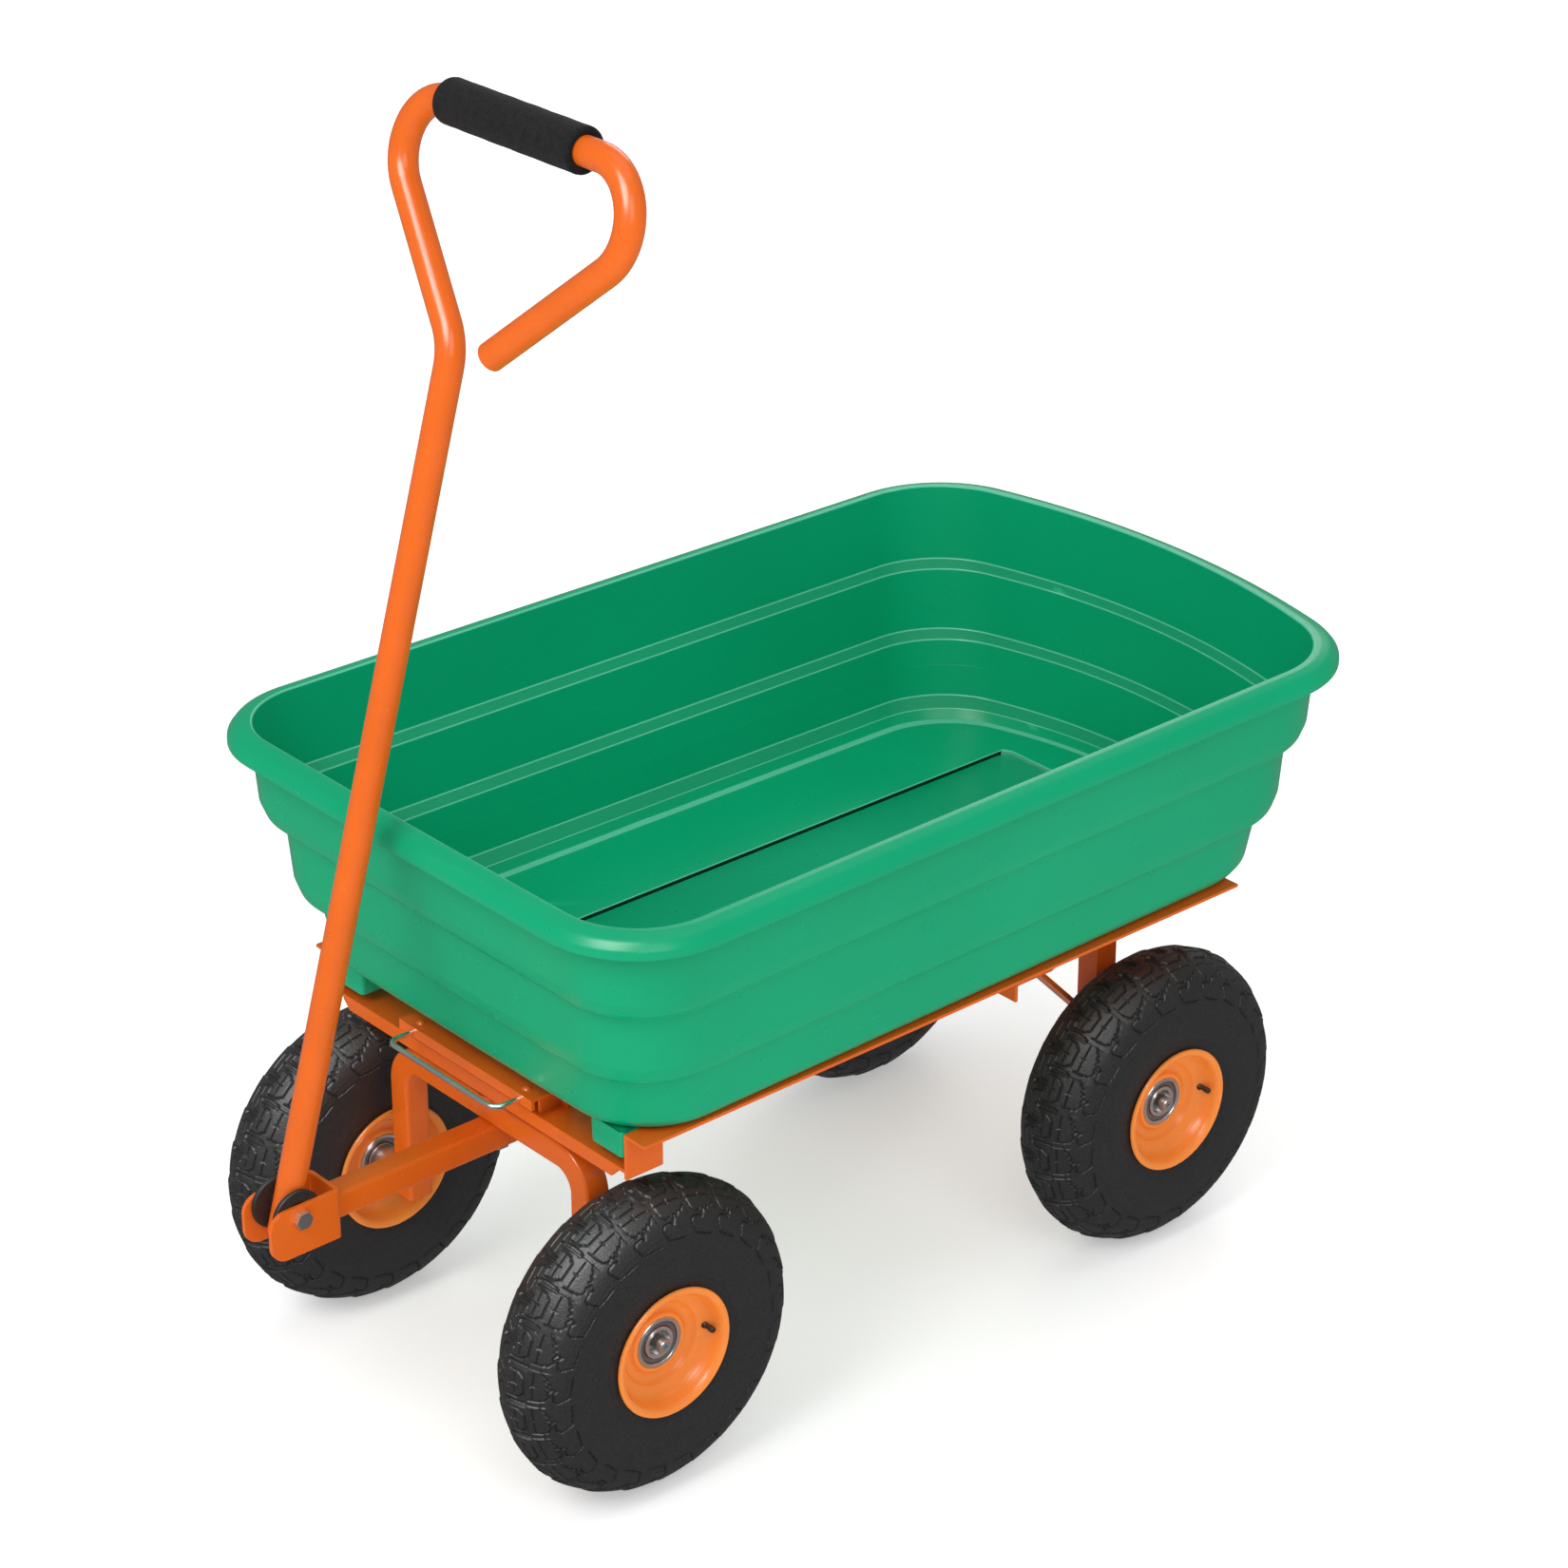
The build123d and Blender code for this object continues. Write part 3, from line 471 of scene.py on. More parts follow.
def tyre_mesh():
    r, y, across = tyre_profile()
    dr, dy = np.gradient(r), np.gradient(y)
    length = np.hypot(dr, dy)
    normal_r, normal_y = -dy / length, dr / length
    around = TREAD_REPEATS * TYRE_STEPS_AROUND
    angle = np.arange(around) * 2 * math.pi / around
    u = (np.arange(around) % TYRE_STEPS_AROUND) / TYRE_STEPS_AROUND * TREAD_PITCH
    depth = groove_depth(u[:, None], across[None, :])
    # concentric mould lines on the sidewall
    for radius, height, width in ((103.0, 0.22, 0.7), (98.5, 0.16, 0.6), (62.0, 0.5, 1.2), (57.5, 0.4, 0.9)):
        depth -= height * np.exp(-(((r - radius) / width) ** 2))[None, :]
    # each lug row climbs along its pitch and drops at the next, which gives the stepped outline
    phase = (u[:, None] / TREAD_PITCH + np.where(across[None, :] < 0, 0.5, 0.0) + 0.06) % 1.0
    depth += 1.1 * (1 - phase) * np.clip((36.0 - np.abs(across)) / 8.0, 0, 1)[None, :]
    # shoulder lugs stand a little proud of the sidewall
    shoulder = np.clip((np.abs(across) - 50.0) / 6.0, 0, 1)
    depth += 0.7 * shoulder[None, :] * np.clip((r - 60.0) / 20.0, 0, 1)[None, :]
    inward = np.clip(depth, -0.9, 4.0)
    radial = r[None, :] - inward * normal_r[None, :]
    axial = y[None, :] - inward * normal_y[None, :]
    x = radial * np.cos(angle)[:, None]
    z = radial * np.sin(angle)[:, None]
    points = np.stack([x, np.broadcast_to(axial, x.shape), z], axis=-1).reshape(-1, 3) * MM
    columns = len(r)
    faces = grid_faces(around, columns, True, False)
    inner = [(46.0, -27.0), (60.0, -30.5), (86.0, -31.0), (108.0, -24.0), (119.0, 0.0),
             (108.0, 24.0), (86.0, 31.0), (60.0, 30.5), (46.0, 27.0)]
    lining = [tuple(p) for p in points]
    start = len(lining)
    for k in range(around):
        for radius, offset in inner:
            lining.append((radius * math.cos(angle[k]) * MM, offset * MM, radius * math.sin(angle[k]) * MM))
    width = len(inner)
    faces += [tuple(start + i for i in face) for face in grid_faces(around, width, True, False)]
    for k in range(around):
        following = (k + 1) % around
        faces.append((k * columns, following * columns, start + following * width + width - 1,
                      start + k * width + width - 1))
        faces.append((k * columns + columns - 1, start + k * width, start + following * width,
                      following * columns + columns - 1))
    return mesh_from("tyre", lining, faces)


RIM_FACE = [
    (52.9, 34.9), (53.3, 36.4), (52.6, 37.7), (51.2, 38.1), (49.6, 37.6), (47.9, 36.6), (46.6, 34.4),
    (45.6, 31.0), (44.2, 27.2), (42.6, 24.6), (40.5, 22.9), (37.6, 21.9), (34.8, 20.4), (33.4, 18.2),
    (31.8, 16.6), (29.2, 15.8), (27.0, 15.8), (25.4, 16.8), (24.2, 18.6), (22.6, 19.3), (20.9, 19.2),
    (20.9, 7.6), (15.2, 7.4), (15.2, 5.2), (22.6, 5.2), (23.2, 12.6), (29.6, 11.8), (33.6, 13.4), (36.2, 17.8),
    (41.0, 20.0), (43.2, 21.6), (43.2, 0.15), (45.4, 0.15), (45.6, 26.6), (48.0, 34.5),
]


def rim_mesh():
    return revolved("rim", rounded(RIM_FACE, 1.6, closed=True, steps=4), 128)


def race_mesh():
    """Outer and inner race of one bearing, with ground faces and broken edges."""
    outer = [(17.6, 18.6), (18.2, 19.5), (20.2, 19.5), (20.75, 18.9),
             (20.75, 8.1), (20.2, 7.5), (18.2, 7.5), (17.6, 8.4)]
    inner = [(10.05, 18.9), (10.6, 19.5), (12.6, 19.5), (13.1, 18.8),
             (13.1, 8.2), (12.6, 7.5), (10.6, 7.5), (10.05, 8.1)]
    return join_meshes("races", [revolved("outer", rounded(outer, 0.35, closed=True), 96),
                                 revolved("inner", rounded(inner, 0.35, closed=True), 96)])


def shield_mesh():
    """Dished metal shield between the races."""
    profile = [(13.4, 17.6), (14.2, 18.1), (16.6, 18.1), (17.5, 17.5), (17.5, 9.0), (13.4, 9.0)]
    return revolved("shield", rounded(profile, 0.5, closed=True), 96)


def sleeve_mesh():
    return revolved("sleeve", rounded([(11.5, -7.4), (13.0, -7.4), (13.0, 7.4), (11.5, 7.4)], 0.3, closed=True), 64)


def valve_mesh():
    """Rubber-covered valve: flared foot, stem, and a ribbed cap."""
    profile = [(0.01, 21.5), (3.2, 21.5), (3.0, 23.4), (2.1, 24.6), (2.0, 28.0), (2.35, 28.3),
               (2.35, 32.6), (1.9, 33.1), (0.01, 33.1)]
    mesh = revolved("valve", rounded(profile, 0.3, closed=True), 40)
    work = bmesh.new()
    work.from_mesh(mesh)
    for vertex in work.verts:
        if vertex.co.y > 28.1 * MM:
            angle = math.atan2(vertex.co.z, vertex.co.x)
            swell = 1.0 + 0.045 * math.cos(angle * 10)
            vertex.co.x *= swell
            vertex.co.z *= swell
    work.to_mesh(mesh)
    work.free()
    mesh.transform(Matrix.Translation((-41.0 * MM, 0, 0)))
    return mesh


def stub_mesh():
    """Stub axle on a leg: welded collar, bearing seat and the plain end seen in the hub."""
    reach = 124.0 - TRACK_HALF
    profile = [(0.01, reach), (13.0, reach), (13.0, -19.9), (9.95, -19.9), (9.95, 10.4), (9.2, 11.0), (5.9, 11.0),
               (5.6, 11.4), (5.6, 25.9), (4.7, 27.0), (1.5, 27.0), (1.4, 24.0), (0.01, 23.4)]
    return revolved("stub", rounded(profile, 0.3, closed=True), 72)


def weld_bead(name, radius, height, path_radius, ripples):
    """Ripple-textured fillet of weld metal round a collar, about the Y axis."""
    points = []
    rows, columns = 12, ripples * 6
    for k in range(columns):
        angle = 2 * math.pi * k / columns
        swell = radius * (1.0 + 0.12 * math.cos(ripples * angle) + 0.08 * random.uniform(-1, 1))
        for j in range(rows):
            turn = 2 * math.pi * j / rows
            r = path_radius + swell * math.cos(turn)
            across = height + swell * math.sin(turn)
            points.append((r * math.cos(angle) * MM, across * MM, r * math.sin(angle) * MM))
    return mesh_from(name, points, grid_faces(columns, rows, True, True))


def build_wheels():
    stub_weld = weld_bead("stub_weld", 1.9, 124.0 - TRACK_HALF + 0.6, 13.4, 22)
    left = {
        "tyre": tyre_mesh(), "rim": rim_mesh(), "races": race_mesh(), "shield": shield_mesh(),
        "sleeve": sleeve_mesh(), "valve": valve_mesh(), "stub": stub_mesh(), "weld": stub_weld,
    }
    right = {key: mirrored(mesh) for key, mesh in left.items()}
    for row, x in (("front", 0.0), ("rear", -WHEELBASE)):
        carrier = "steering" if row == "front" else "chassis"
        for hand, side in (("left", 1), ("right", -1)):
            near, far = (left, right) if side > 0 else (right, left)
            wheel = f"{row}_{hand}"
            body = f"{wheel}_wheel"
            centre = Matrix.Translation(place(x, side * TRACK_HALF, AXLE_Z))

            def put(key, mesh, material, replaced=(), on=body, turned=0.0):
                copy = mesh.copy()
                copy.transform(centre @ Matrix.Rotation(turned, 4, "Y"))
                return add_piece(f"{wheel}_{key}", copy, material, on, replaced)

            turned = {"front_left": 0.0, "front_right": 0.9, "rear_left": 0.45, "rear_right": 2.0}[wheel]
            put("tyre_body", near["tyre"], TYRE, [f"{wheel}_tyre"], turned=turned)
            put("rim_face", near["rim"], WHEEL_ORANGE, [f"{wheel}_rim_outer"])
            put("rim_back", far["rim"], WHEEL_ORANGE, [f"{wheel}_rim_inner"])
            put("race_outboard", near["races"], RACE, [f"{wheel}_bearings"])
            put("race_inboard", far["races"], RACE)
            put("shield_outboard", near["shield"], SHIELD)
            put("shield_inboard", far["shield"], SHIELD)
            put("sleeve", near["sleeve"], STEEL, [f"{wheel}_hub_sleeve"])
            put("valve_stem", near["valve"], VALVE, [f"{wheel}_valve"])
            put("stub_axle", near["stub"], STEEL, [f"{row}_stub_axles"], on=carrier)
            put("stub_weld", near["weld"], ORANGE, on=carrier)


# ---- tub ----------------------------------------------------------------------------------
TUB_FRONT, TUB_REAR, TUB_HALF = 66.4, -659.9, 246.0
TUB_TAPER = 0.0143    # how much each side closes in per mm towards the rear
FRONT_BOW, REAR_BOW = 2.0, 45.0
FRONT_CORNER, REAR_CORNER = 64.5, 80.0


def tub_ring(offset, z):
    """Points round the tub at one height: bowed ends, straight sides, rounded corners."""
    half = TUB_HALF + offset
    grow = max(offset, 0.0)
    front_in, rear_in = (offset, offset) if offset > 0 else (offset * FRONT_SHARE, offset * REAR_SHARE)
    quarter = []
    for sign, end, bow, corner in ((1, TUB_FRONT + front_in, FRONT_BOW, FRONT_CORNER + grow),
                                   (-1, TUB_REAR - rear_in, REAR_BOW, REAR_CORNER + grow)):
        big = (half * half + bow * bow) / (2 * bow)
        centre_x = end + sign * (bow - big)
        fillet_y = half - corner
        fillet_x = centre_x + sign * math.sqrt((big - corner) ** 2 - fillet_y ** 2)
        meet = math.atan2(fillet_y, sign * (fillet_x - centre_x))
        arc = [(fillet_x + sign * corner * math.cos(a), fillet_y + corner * math.sin(a))
               for a in np.linspace(math.pi / 2, meet, 17)]
        bowed = [(centre_x + sign * big * math.cos(a), big * math.sin(a)) for a in np.linspace(meet, 0, 15)[1:]]
        quarter.append(arc + bowed)
    front, rear = quarter
    sides = [(x, half) for x in np.linspace(rear[0][0], front[0][0], 26)[1:-1]]
    upper = rear[::-1] + sides + front
    lower = [(x, -y) for x, y in upper[-2:0:-1]]
    return [(x, y * (1 - TUB_TAPER * max(-x, 0.0) / TUB_HALF), z) for x, y in upper + lower]


# (offset from the rim's inner edge, height, corner radius) down the outside, then the inside
TUB_SECTION = [
    (-54.0, 310.3, 5.0), (-45.0, 311.5, 7.0), (-39.4, 320.0, 9.0), (-33.2, 358.0, 0.6), (-31.0, 361.4, 0.8),
    (-22.0, 367.6, 8.0), (-18.2, 381.0, 8.0), (-15.4, 424.0, 0.6), (-13.4, 427.4, 0.8), (-5.0, 433.6, 8.0),
    (-1.0, 446.0, 8.0), (2.8, 500.0, 3.0), (4.2, 505.2, 3.0), (11.5, 505.0, 5.0), (16.4, 500.2, 4.0),
    (17.2, 494.8, 0.8), (18.4, 493.4, 0.9), (19.9, 494.2, 0.9), (19.9, 500.0, 6.0), (14.4, 507.0, 9.0),
    (5.6, 509.9, 8.0), (1.2, 510.0, 1.1), (0.0, 508.6, 1.0), (-6.2, 445.2, 1.6),
    (-14.6, 439.2, 1.6), (-20.6, 386.2, 1.6), (-29.4, 380.2, 1.6),
    (-37.6, 331.6, 1.6), (-48.6, 324.4, 1.6), (-52.6, 316.3, 1.2), (-60.0, 316.0, 1.0),
]
FRONT_SHARE, REAR_SHARE = 0.94, 0.7   # how far the bands step in at the ends, against the sides
# heights of the painted highlight lines along the inner ledges, and how far each reaches
CREASES = [(445.2, 0.9), (439.2, 0.9), (386.2, 0.9), (380.2, 0.9), (331.6, 0.9), (324.4, 0.9),
           (316.2, 0.18), (509.6, 0.7)]
FLOOR_PANEL = (-622.0, 2.0, 92.0)
FLOOR_Z = 316.0
# from the floor down into the lower panel: (outset, drop, tone), a painted highlight on the edge and then painted
# shade in the seam
FLOOR_STEP = [(0.0, 0.0, 0), (-0.5, 0.1, 1), (-0.9, 0.5, 1), (-1.0, 4.6, 2), (-2.3, 4.6, 2),
              (-2.4, 2.8, 2), (-3.0, 2.4, 0)]
TEMPLATE_MIDDLE = -312.0   # the x that the floor panel's rays start from


def panel_ring(template, x_low, x_high, half_width, corner, z):
    """A rounded rectangle with the same number of points as the template ring."""
    centre_x = (x_low + x_high) / 2
    half_length = (x_high - x_low) / 2
    points = []
    for x, y, _ in template:
        dx, dy = x - TEMPLATE_MIDDLE, y
        scale = min(half_length / abs(dx) if abs(dx) > 1e-6 else 1e9,
                    half_width / abs(dy) if abs(dy) > 1e-6 else 1e9)
        points.append([centre_x + dx * scale, dy * scale])
    for point in points:
        ax, ay = abs(point[0] - centre_x), abs(point[1])
        over_x, over_y = ax - (half_length - corner), ay - (half_width - corner)
        if over_x > 0 and over_y > 0:
            reach = math.hypot(over_x, over_y)
            if reach > 0:
                ax = half_length - corner + over_x * corner / reach
                ay = half_width - corner + over_y * corner / reach
                point[0] = centre_x + math.copysign(ax, point[0] - centre_x)
                point[1] = math.copysign(ay, point[1])
    return [(x, y, z) for x, y in points]


def tub_mesh():
    section = rounded([(d, z) for d, z, _ in TUB_SECTION], [r for _, _, r in TUB_SECTION], steps=6)
    top = max(range(len(section)), key=lambda i: section[i][1])
    # tones pick each band's material: 0 the plain green, 1 the painted highlight along a crease, 2 the painted shade
    # in the floor seam, 3 the painted shade on an upward-facing ledge
    tones = []
    for i in range(len(section) - 1):
        middle = (section[i][1] + section[i + 1][1]) / 2
        run, fall = abs(section[i][0] - section[i + 1][0]), abs(section[i][1] - section[i + 1][1])
        if i < top:
            tones.append(0)
        elif any(abs(middle - z) < reach for z, reach in CREASES):
            tones.append(1)
        else:
            tones.append(3 if middle > 320.0 and run > fall else 0)
    rings = [tub_ring(d, z) for d, z in section]
    template = rings[-1]
    x_low, x_high, half = FLOOR_PANEL
    for inset, drop, tone in FLOOR_STEP:
        corner = 5.0 + inset * 0.4
        rings.append(panel_ring(template, x_low - inset, x_high + inset, half + inset, corner, FLOOR_Z - drop))
        tones.append(tone)
    count = len(template)
    points = [place(*p) for ring in rings for p in ring]
    faces = grid_faces(len(rings), count, False, True)
    faces.append(tuple(range(count)))
    faces.append(tuple(range((len(rings) - 1) * count, len(rings) * count)))
    mesh = mesh_from("tub", points, faces)
    row_tones = [tone for tone in tones for _ in range(count)]
    return mesh, row_tones


def runner_mesh(side):
    """Open-bottomed rib under the floor, with a rounded foot and drafted walls."""
    x_low, x_high, y_low, y_high = -368.0, 21.0, 141.0, 178.6
    rings = []
    for inset, z in ((0.0, 311.0), (0.2, 300.0), (0.5, 290.0), (0.9, 289.2), (1.8, 289.0), (2.6, 289.4), (3.0, 290.4),
                     (3.0, 309.9)):
        corners = [(x_low + inset, y_low + inset), (x_high - inset, y_low + inset),
                   (x_high - inset, y_high - inset), (x_low + inset, y_high - inset)]
        ring = rounded(corners, max(4.0 - inset, 1.0), closed=True, steps=5)
        rings.append([(x, side * y, z) for x, y in ring])
    count = len(rings[0])
    points = [place(*p) for ring in rings for p in ring]
    faces = grid_faces(len(rings), count, False, True)
    faces.append(tuple(range((len(rings) - 1) * count, len(rings) * count)))
    return mesh_from("runner", points, faces)


def build_tub():
    shell, row_tones = tub_mesh()
    add_piece("tub_shell", shell, GREEN, "tub", ["tub"], 40.0)
    shell.materials.append(GREEN_CREASE_HIGHLIGHT)
    shell.materials.append(GREEN_SEAM_SHADE)
    shell.materials.append(GREEN_LEDGE_SHADE)
    seam_end = place(FLOOR_PANEL[0] + 4.0, 0, 0).x
    # near the panel's rear end the seam's painted shade gives way to the painted highlight
    for polygon, tone in zip(shell.polygons, row_tones):
        polygon.material_index = 1 if tone == 2 and polygon.center.x < seam_end else tone
    for side, name in ((1, "left"), (-1, "right")):
        add_piece(f"tub_runner_{name}", runner_mesh(side), GREEN, "tub", ["tub_runners"])
    softened("front_keeper", 0.5, ZINC)
    softened("hinge_brackets", 0.5, ZINC)
    softened("tub_screws", 0.4, ZINC)


# ---- handle -------------------------------------------------------------------------------
LEAN = math.radians(16.0)
PIVOT = np.array((195.0, 0.0, 235.0))
STEM = np.array((-math.sin(LEAN), 0.0, math.cos(LEAN)))
GRIP_HEIGHT = 815.5


def on_handle(y, along):
    """A point in the handle's plane: y across, and mm up the stem from the pivot bolt."""
    return PIVOT + STEM * along + np.array((0.0, y, 0.0))


def build_handle():
    corners = [(0, -19.0), (0, 655.0), (-142.0, GRIP_HEIGHT), (225.0, GRIP_HEIGHT), (42.0, 658.0)]
    path = rounded([on_handle(*c) for c in corners], [0, 45.0, 40.0, 47.0, 0], steps=16)
    tube = swept("handle", path, circle(11.0, 40), circle(9.4, 40))
    add_piece("handle_stem_and_loop", tube, ORANGE, "pull_handle", ["handle_tube"], 50.0)
    grip = [(11.15, -52.4), (15.0, -52.6), (16.6, -51.4), (17.0, -49.0), (17.0, 94.0), (16.6, 96.4), (15.0, 97.6),
            (11.15, 97.4)]
    profile = rounded(grip, 1.4, closed=True, steps=5)
    long_profile = []
    for (r0, y0), (r1, y1) in zip(profile, profile[1:] + profile[:1]):
        pieces = max(1, int(abs(y1 - y0) / 4.0))
        for k in range(pieces):
            t = k / pieces
            long_profile.append((r0 + (r1 - r0) * t, y0 + (y1 - y0) * t))
    mesh = revolved("grip", long_profile, 72)
    work = bmesh.new()
    work.from_mesh(mesh)
    for vertex in work.verts:
        radius = math.hypot(vertex.co.x, vertex.co.z)
        if radius > 14 * MM:
            y = vertex.co.y / MM
            swell = 1.0 + 0.006 * math.sin(y * 0.21) + 0.004 * random.uniform(-1, 1)
            vertex.co.x *= swell
            vertex.co.z *= swell
    work.to_mesh(mesh)
    work.free()
    mesh.transform(Matrix.Translation(place(*on_handle(0, GRIP_HEIGHT))))
    add_piece("foam_grip_sleeve", mesh, FOAM, "pull_handle", ["foam_grip"])
    disc = [(4.05, 11.2), (19.8, 11.2), (20.9, 11.8), (20.9, 14.7), (20.2, 15.3), (12.0, 15.3), (11.4, 14.7),
            (4.05, 14.7)]
    near = revolved("disc", rounded(disc, 0.5, closed=True), 72)
    discs = join_meshes("discs", [near, mirrored(near)])
    discs.transform(Matrix.Translation(place(*PIVOT)))
    add_piece("friction_disc_pair", discs, DISC, "pull_handle", ["friction_discs"])


# ---- steering and chassis -----------------------------------------------------------------
def build_steering():
    inner = [(0, -113.0, 116.0), (0, -113.0, 247.0), (0, 113.0, 247.0), (0, 113.0, 116.0)]
    path = rounded(inner, [0, 27.0, 27.0, 0], steps=14)
    yoke = swept("yoke", path, square(11.0, 3.2), square(9.0, 1.6))
    add_piece("axle_yoke_tube", yoke, ORANGE, "steering", ["axle_yoke"])
    bar = swept("bar", [(x, 0, 225.0) for x in np.linspace(-11.0, 159.0, 12)], square(11.0, 3.2), square(9.0, 1.6))
    add_piece("tow_bar_tube", bar, ORANGE, "steering", ["tow_bar"])
    bush = rounded([(6.0, 258.0), (13.0, 258.0), (13.0, 273.7), (6.0, 273.7)], 0.8, closed=True)
    bush_mesh = revolved("bush", bush, 72)
    bush_mesh.transform(Matrix.Translation(place(0, 0, 0)) @ Matrix.Rotation(math.pi / 2, 4, "X"))
    add_piece("kingpin_boss", bush_mesh, ORANGE, "steering", ["kingpin_bush"])
    bead = weld_bead("bush_weld", 2.4, 259.2, 13.6, 20)
    bead.transform(Matrix.Translation(place(0, 0, 0)) @ Matrix.Rotation(math.pi / 2, 4, "X"))
    add_piece("kingpin_boss_weld", bead, ORANGE, "steering")
    softened("clevis", 0.9, ORANGE, 3)
    softened("clevis_bolt", 0.7, ZINC, 3)
    softened("clevis_nut", 0.6, ZINC, 3)


def weld_line(name, start, end, radius, body, ripples):
    """Straight ripple-textured weld run between two points, in mm."""
    start, end = np.array(start, float), np.array(end, float)
    steps = ripples * 5
    path = [start + (end - start) * k / steps for k in range(steps + 1)]
    mesh = swept(name, path, circle(radius, 12))
    centre_line = [place(*p) for p in path]
    work = bmesh.new()
    work.from_mesh(mesh)
    work.verts.ensure_lookup_table()
    for index, vertex in enumerate(work.verts):
        row = index // 12
        if row <= steps:
            swell = 1.0 + 0.14 * math.cos(2 * math.pi * row * ripples / steps) + random.uniform(-0.05, 0.05)
            if row in (0, steps):
                swell = 0.45
            vertex.co = centre_line[row] + (vertex.co - centre_line[row]) * swell
    work.to_mesh(mesh)
    work.free()
    return add_piece(name, mesh, ORANGE, body)


CORNER_X, CORNER_HALF = -25.0, 148.0       # behind this x the front cross member is this wide
KINGPIN_END = 211.2
NUT_UPPER, NUT_LOWER, NUT_SHARE = 213.8, 211.6, 0.82


def cut_back_corners(point):
    """The front cross member's rear corners stop short of the rails."""
    if point.x < place(CORNER_X, 0, 0).x:
        point.y = max(-CORNER_HALF * MM, min(CORNER_HALF * MM, point.y))


def low_end(point):
    """The kingpin ends just under the tow bar."""
    point.z = max(point.z, KINGPIN_END * MM)


def low_nut(point):
    """The kingpin's nut is a thin push-on one, slimmer than the CAD's."""
    axis = place(0, 0, 0)
    if point.z < NUT_UPPER * MM:
        point.z = max(point.z, NUT_LOWER * MM)
    point.x = axis.x + (point.x - axis.x) * NUT_SHARE
    point.y = point.y * NUT_SHARE


def build_chassis():
    softened("front_cross_member", 0.8, ORANGE, shaped=cut_back_corners)
    for node, width in (("left_side_rail", 0.9), ("right_side_rail", 0.9), ("mid_cross_member", 0.7),
                        ("rear_cross_member", 0.7), ("left_rear_leg", 0.9), ("right_rear_leg", 0.9),
                        ("left_rear_brace", 0.8), ("right_rear_brace", 0.8), ("latch_channel", 0.6),
                        ("latch_rivets", 0.2)):
        softened(node, width, ORANGE)
    softened("kingpin", 0.6, ZINC, shaped=low_end)
    softened("kingpin_nut", 0.3, ZINC, shaped=low_nut)
    for node, width in (("kingpin_washer", 0.3), ("tip_rod", 0.4), ("tip_rod_caps", 0.4)):
        softened(node, width, ZINC)
    for side, name in ((1, "left"), (-1, "right")):
        weld_line(f"gusset_weld_{name}", (-13.0, side * 178.6, 275.6), (17.0, side * 178.6, 275.6),
                  1.5, "chassis", 10)
        weld_line(f"leg_weld_{name}", (-542.0, side * 113.0, 292.6), (-522.0, side * 113.0, 292.6),
                  1.6, "chassis", 7)
    wire = rounded([(-24.0, 66.0, 292.5), (51.0, 66.0, 292.5), (51.0, -66.0, 292.5), (-24.0, -66.0, 292.5)],
                   [0, 9.0, 9.0, 0], steps=10)
    add_piece("bail_wire", swept("bail", wire, circle(2.25, 20)), CHROME, "bail", ["bail"])
    softened("bail_collars", 0.3, ZINC)
    springs = frame["nodes"]["latch_springs"]
    springs.data.materials.clear()
    springs.data.materials.append(ZINC)


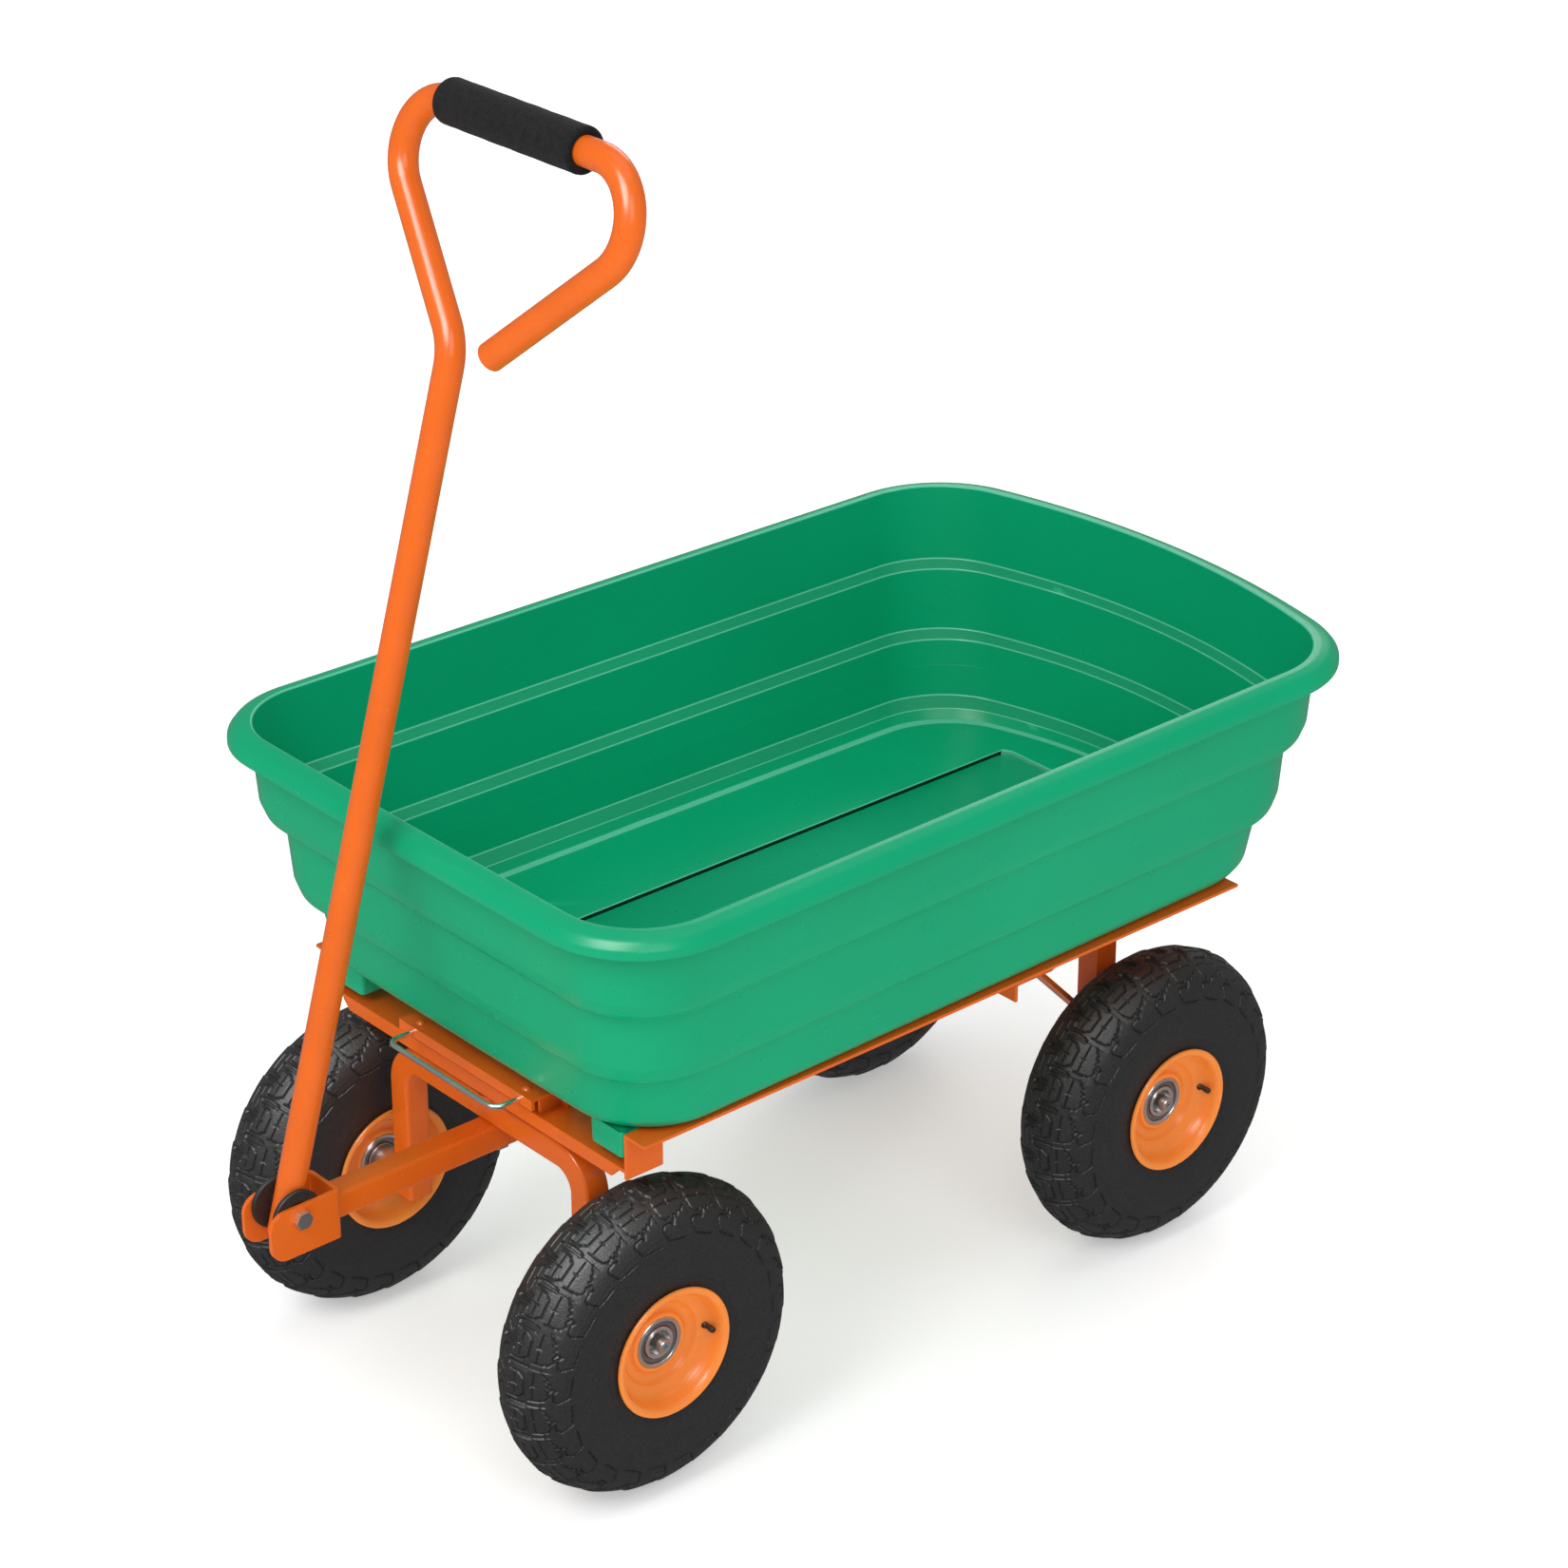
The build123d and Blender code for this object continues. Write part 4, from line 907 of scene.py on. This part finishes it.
# ---- studio -------------------------------------------------------------------------------
def build_studio():
    scene = bpy.context.scene
    floor_mesh = bpy.data.meshes.new("floor")
    reach = 14.0
    floor_mesh.from_pydata([(-reach, -reach, 0), (reach, -reach, 0), (reach, reach, 0), (-reach, reach, 0)], [],
                           [(0, 1, 2, 3)])
    floor = bpy.data.objects.new("floor", floor_mesh)
    scene.collection.objects.link(floor)
    material, _, shader = new_material("floor_paper", (0.93, 0.93, 0.93), 0.9)
    shader.inputs["Specular IOR Level"].default_value = 0.1
    shader.inputs["Emission Color"].default_value = (1.0, 1.0, 1.0, 1.0)
    shader.inputs["Emission Strength"].default_value = 0.34
    floor_mesh.materials.append(material)
    floor.visible_glossy = False

    world = bpy.data.worlds.new("studio")
    world.use_nodes = True
    tree = world.node_tree
    studio_light = tree.nodes["Background"]
    studio_light.inputs["Color"].default_value = (1.0, 1.0, 1.0, 1.0)
    studio_light.inputs["Strength"].default_value = 0.60
    backdrop = tree.nodes.new("ShaderNodeBackground")
    backdrop.inputs["Color"].default_value = (1.0, 1.0, 1.0, 1.0)
    seen = tree.nodes.new("ShaderNodeLightPath")
    mixed = tree.nodes.new("ShaderNodeMixShader")
    dim = tree.nodes.new("ShaderNodeBackground")
    dim.inputs["Strength"].default_value = 0.27
    unlit = tree.nodes.new("ShaderNodeMixShader")
    tree.links.new(seen.outputs["Is Glossy Ray"], unlit.inputs["Fac"])
    tree.links.new(studio_light.outputs["Background"], unlit.inputs[1])
    tree.links.new(dim.outputs["Background"], unlit.inputs[2])
    tree.links.new(seen.outputs["Is Camera Ray"], mixed.inputs["Fac"])
    tree.links.new(unlit.outputs["Shader"], mixed.inputs[1])
    tree.links.new(backdrop.outputs["Background"], mixed.inputs[2])
    tree.links.new(mixed.outputs["Shader"], tree.nodes["World Output"].inputs["Surface"])
    scene.world = world
    scene.view_settings.view_transform = "Standard"

    centre = Vector((0.0, 0.0, 0.4))
    for name, position, size, power, diffuse in (
        ("key", (1.6, 3.4, 3.2), 2.2, 45.0, True),
        ("front", (2.6, 0.5, 2.9), 1.5, 44.0, True),
        ("top", (-0.6, 0.2, 4.2), 3.0, 18.0, True),
        ("rim", (-3.2, -2.2, 2.6), 2.0, 30.0, True),
        ("sheen", (2.0, 0.7, 3.0), 1.6, 90.0, False),
    ):
        light = bpy.data.lights.new(name, "AREA")
        light.shape = "SQUARE"
        light.size = size
        light.energy = power
        lamp = bpy.data.objects.new(name, light)
        scene.collection.objects.link(lamp)
        lamp.location = position
        lamp.visible_diffuse = diffuse
        lamp.rotation_euler = (centre - Vector(position)).to_track_quat("-Z", "Y").to_euler()

    camera_data = bpy.data.cameras.new("camera")
    camera_data.lens = 97.24
    camera_data.sensor_width = 36.0
    camera = bpy.data.objects.new("camera", camera_data)
    scene.collection.objects.link(camera)
    camera.location = place(1659.3, 2237.0, 1902.0)
    target = place(-290.36, 0.0, 424.55)
    camera.rotation_euler = (target - camera.location).to_track_quat("-Z", "Y").to_euler()
    scene.camera = camera


build_wheels()
build_tub()
build_handle()
build_steering()
build_chassis()
build_studio()
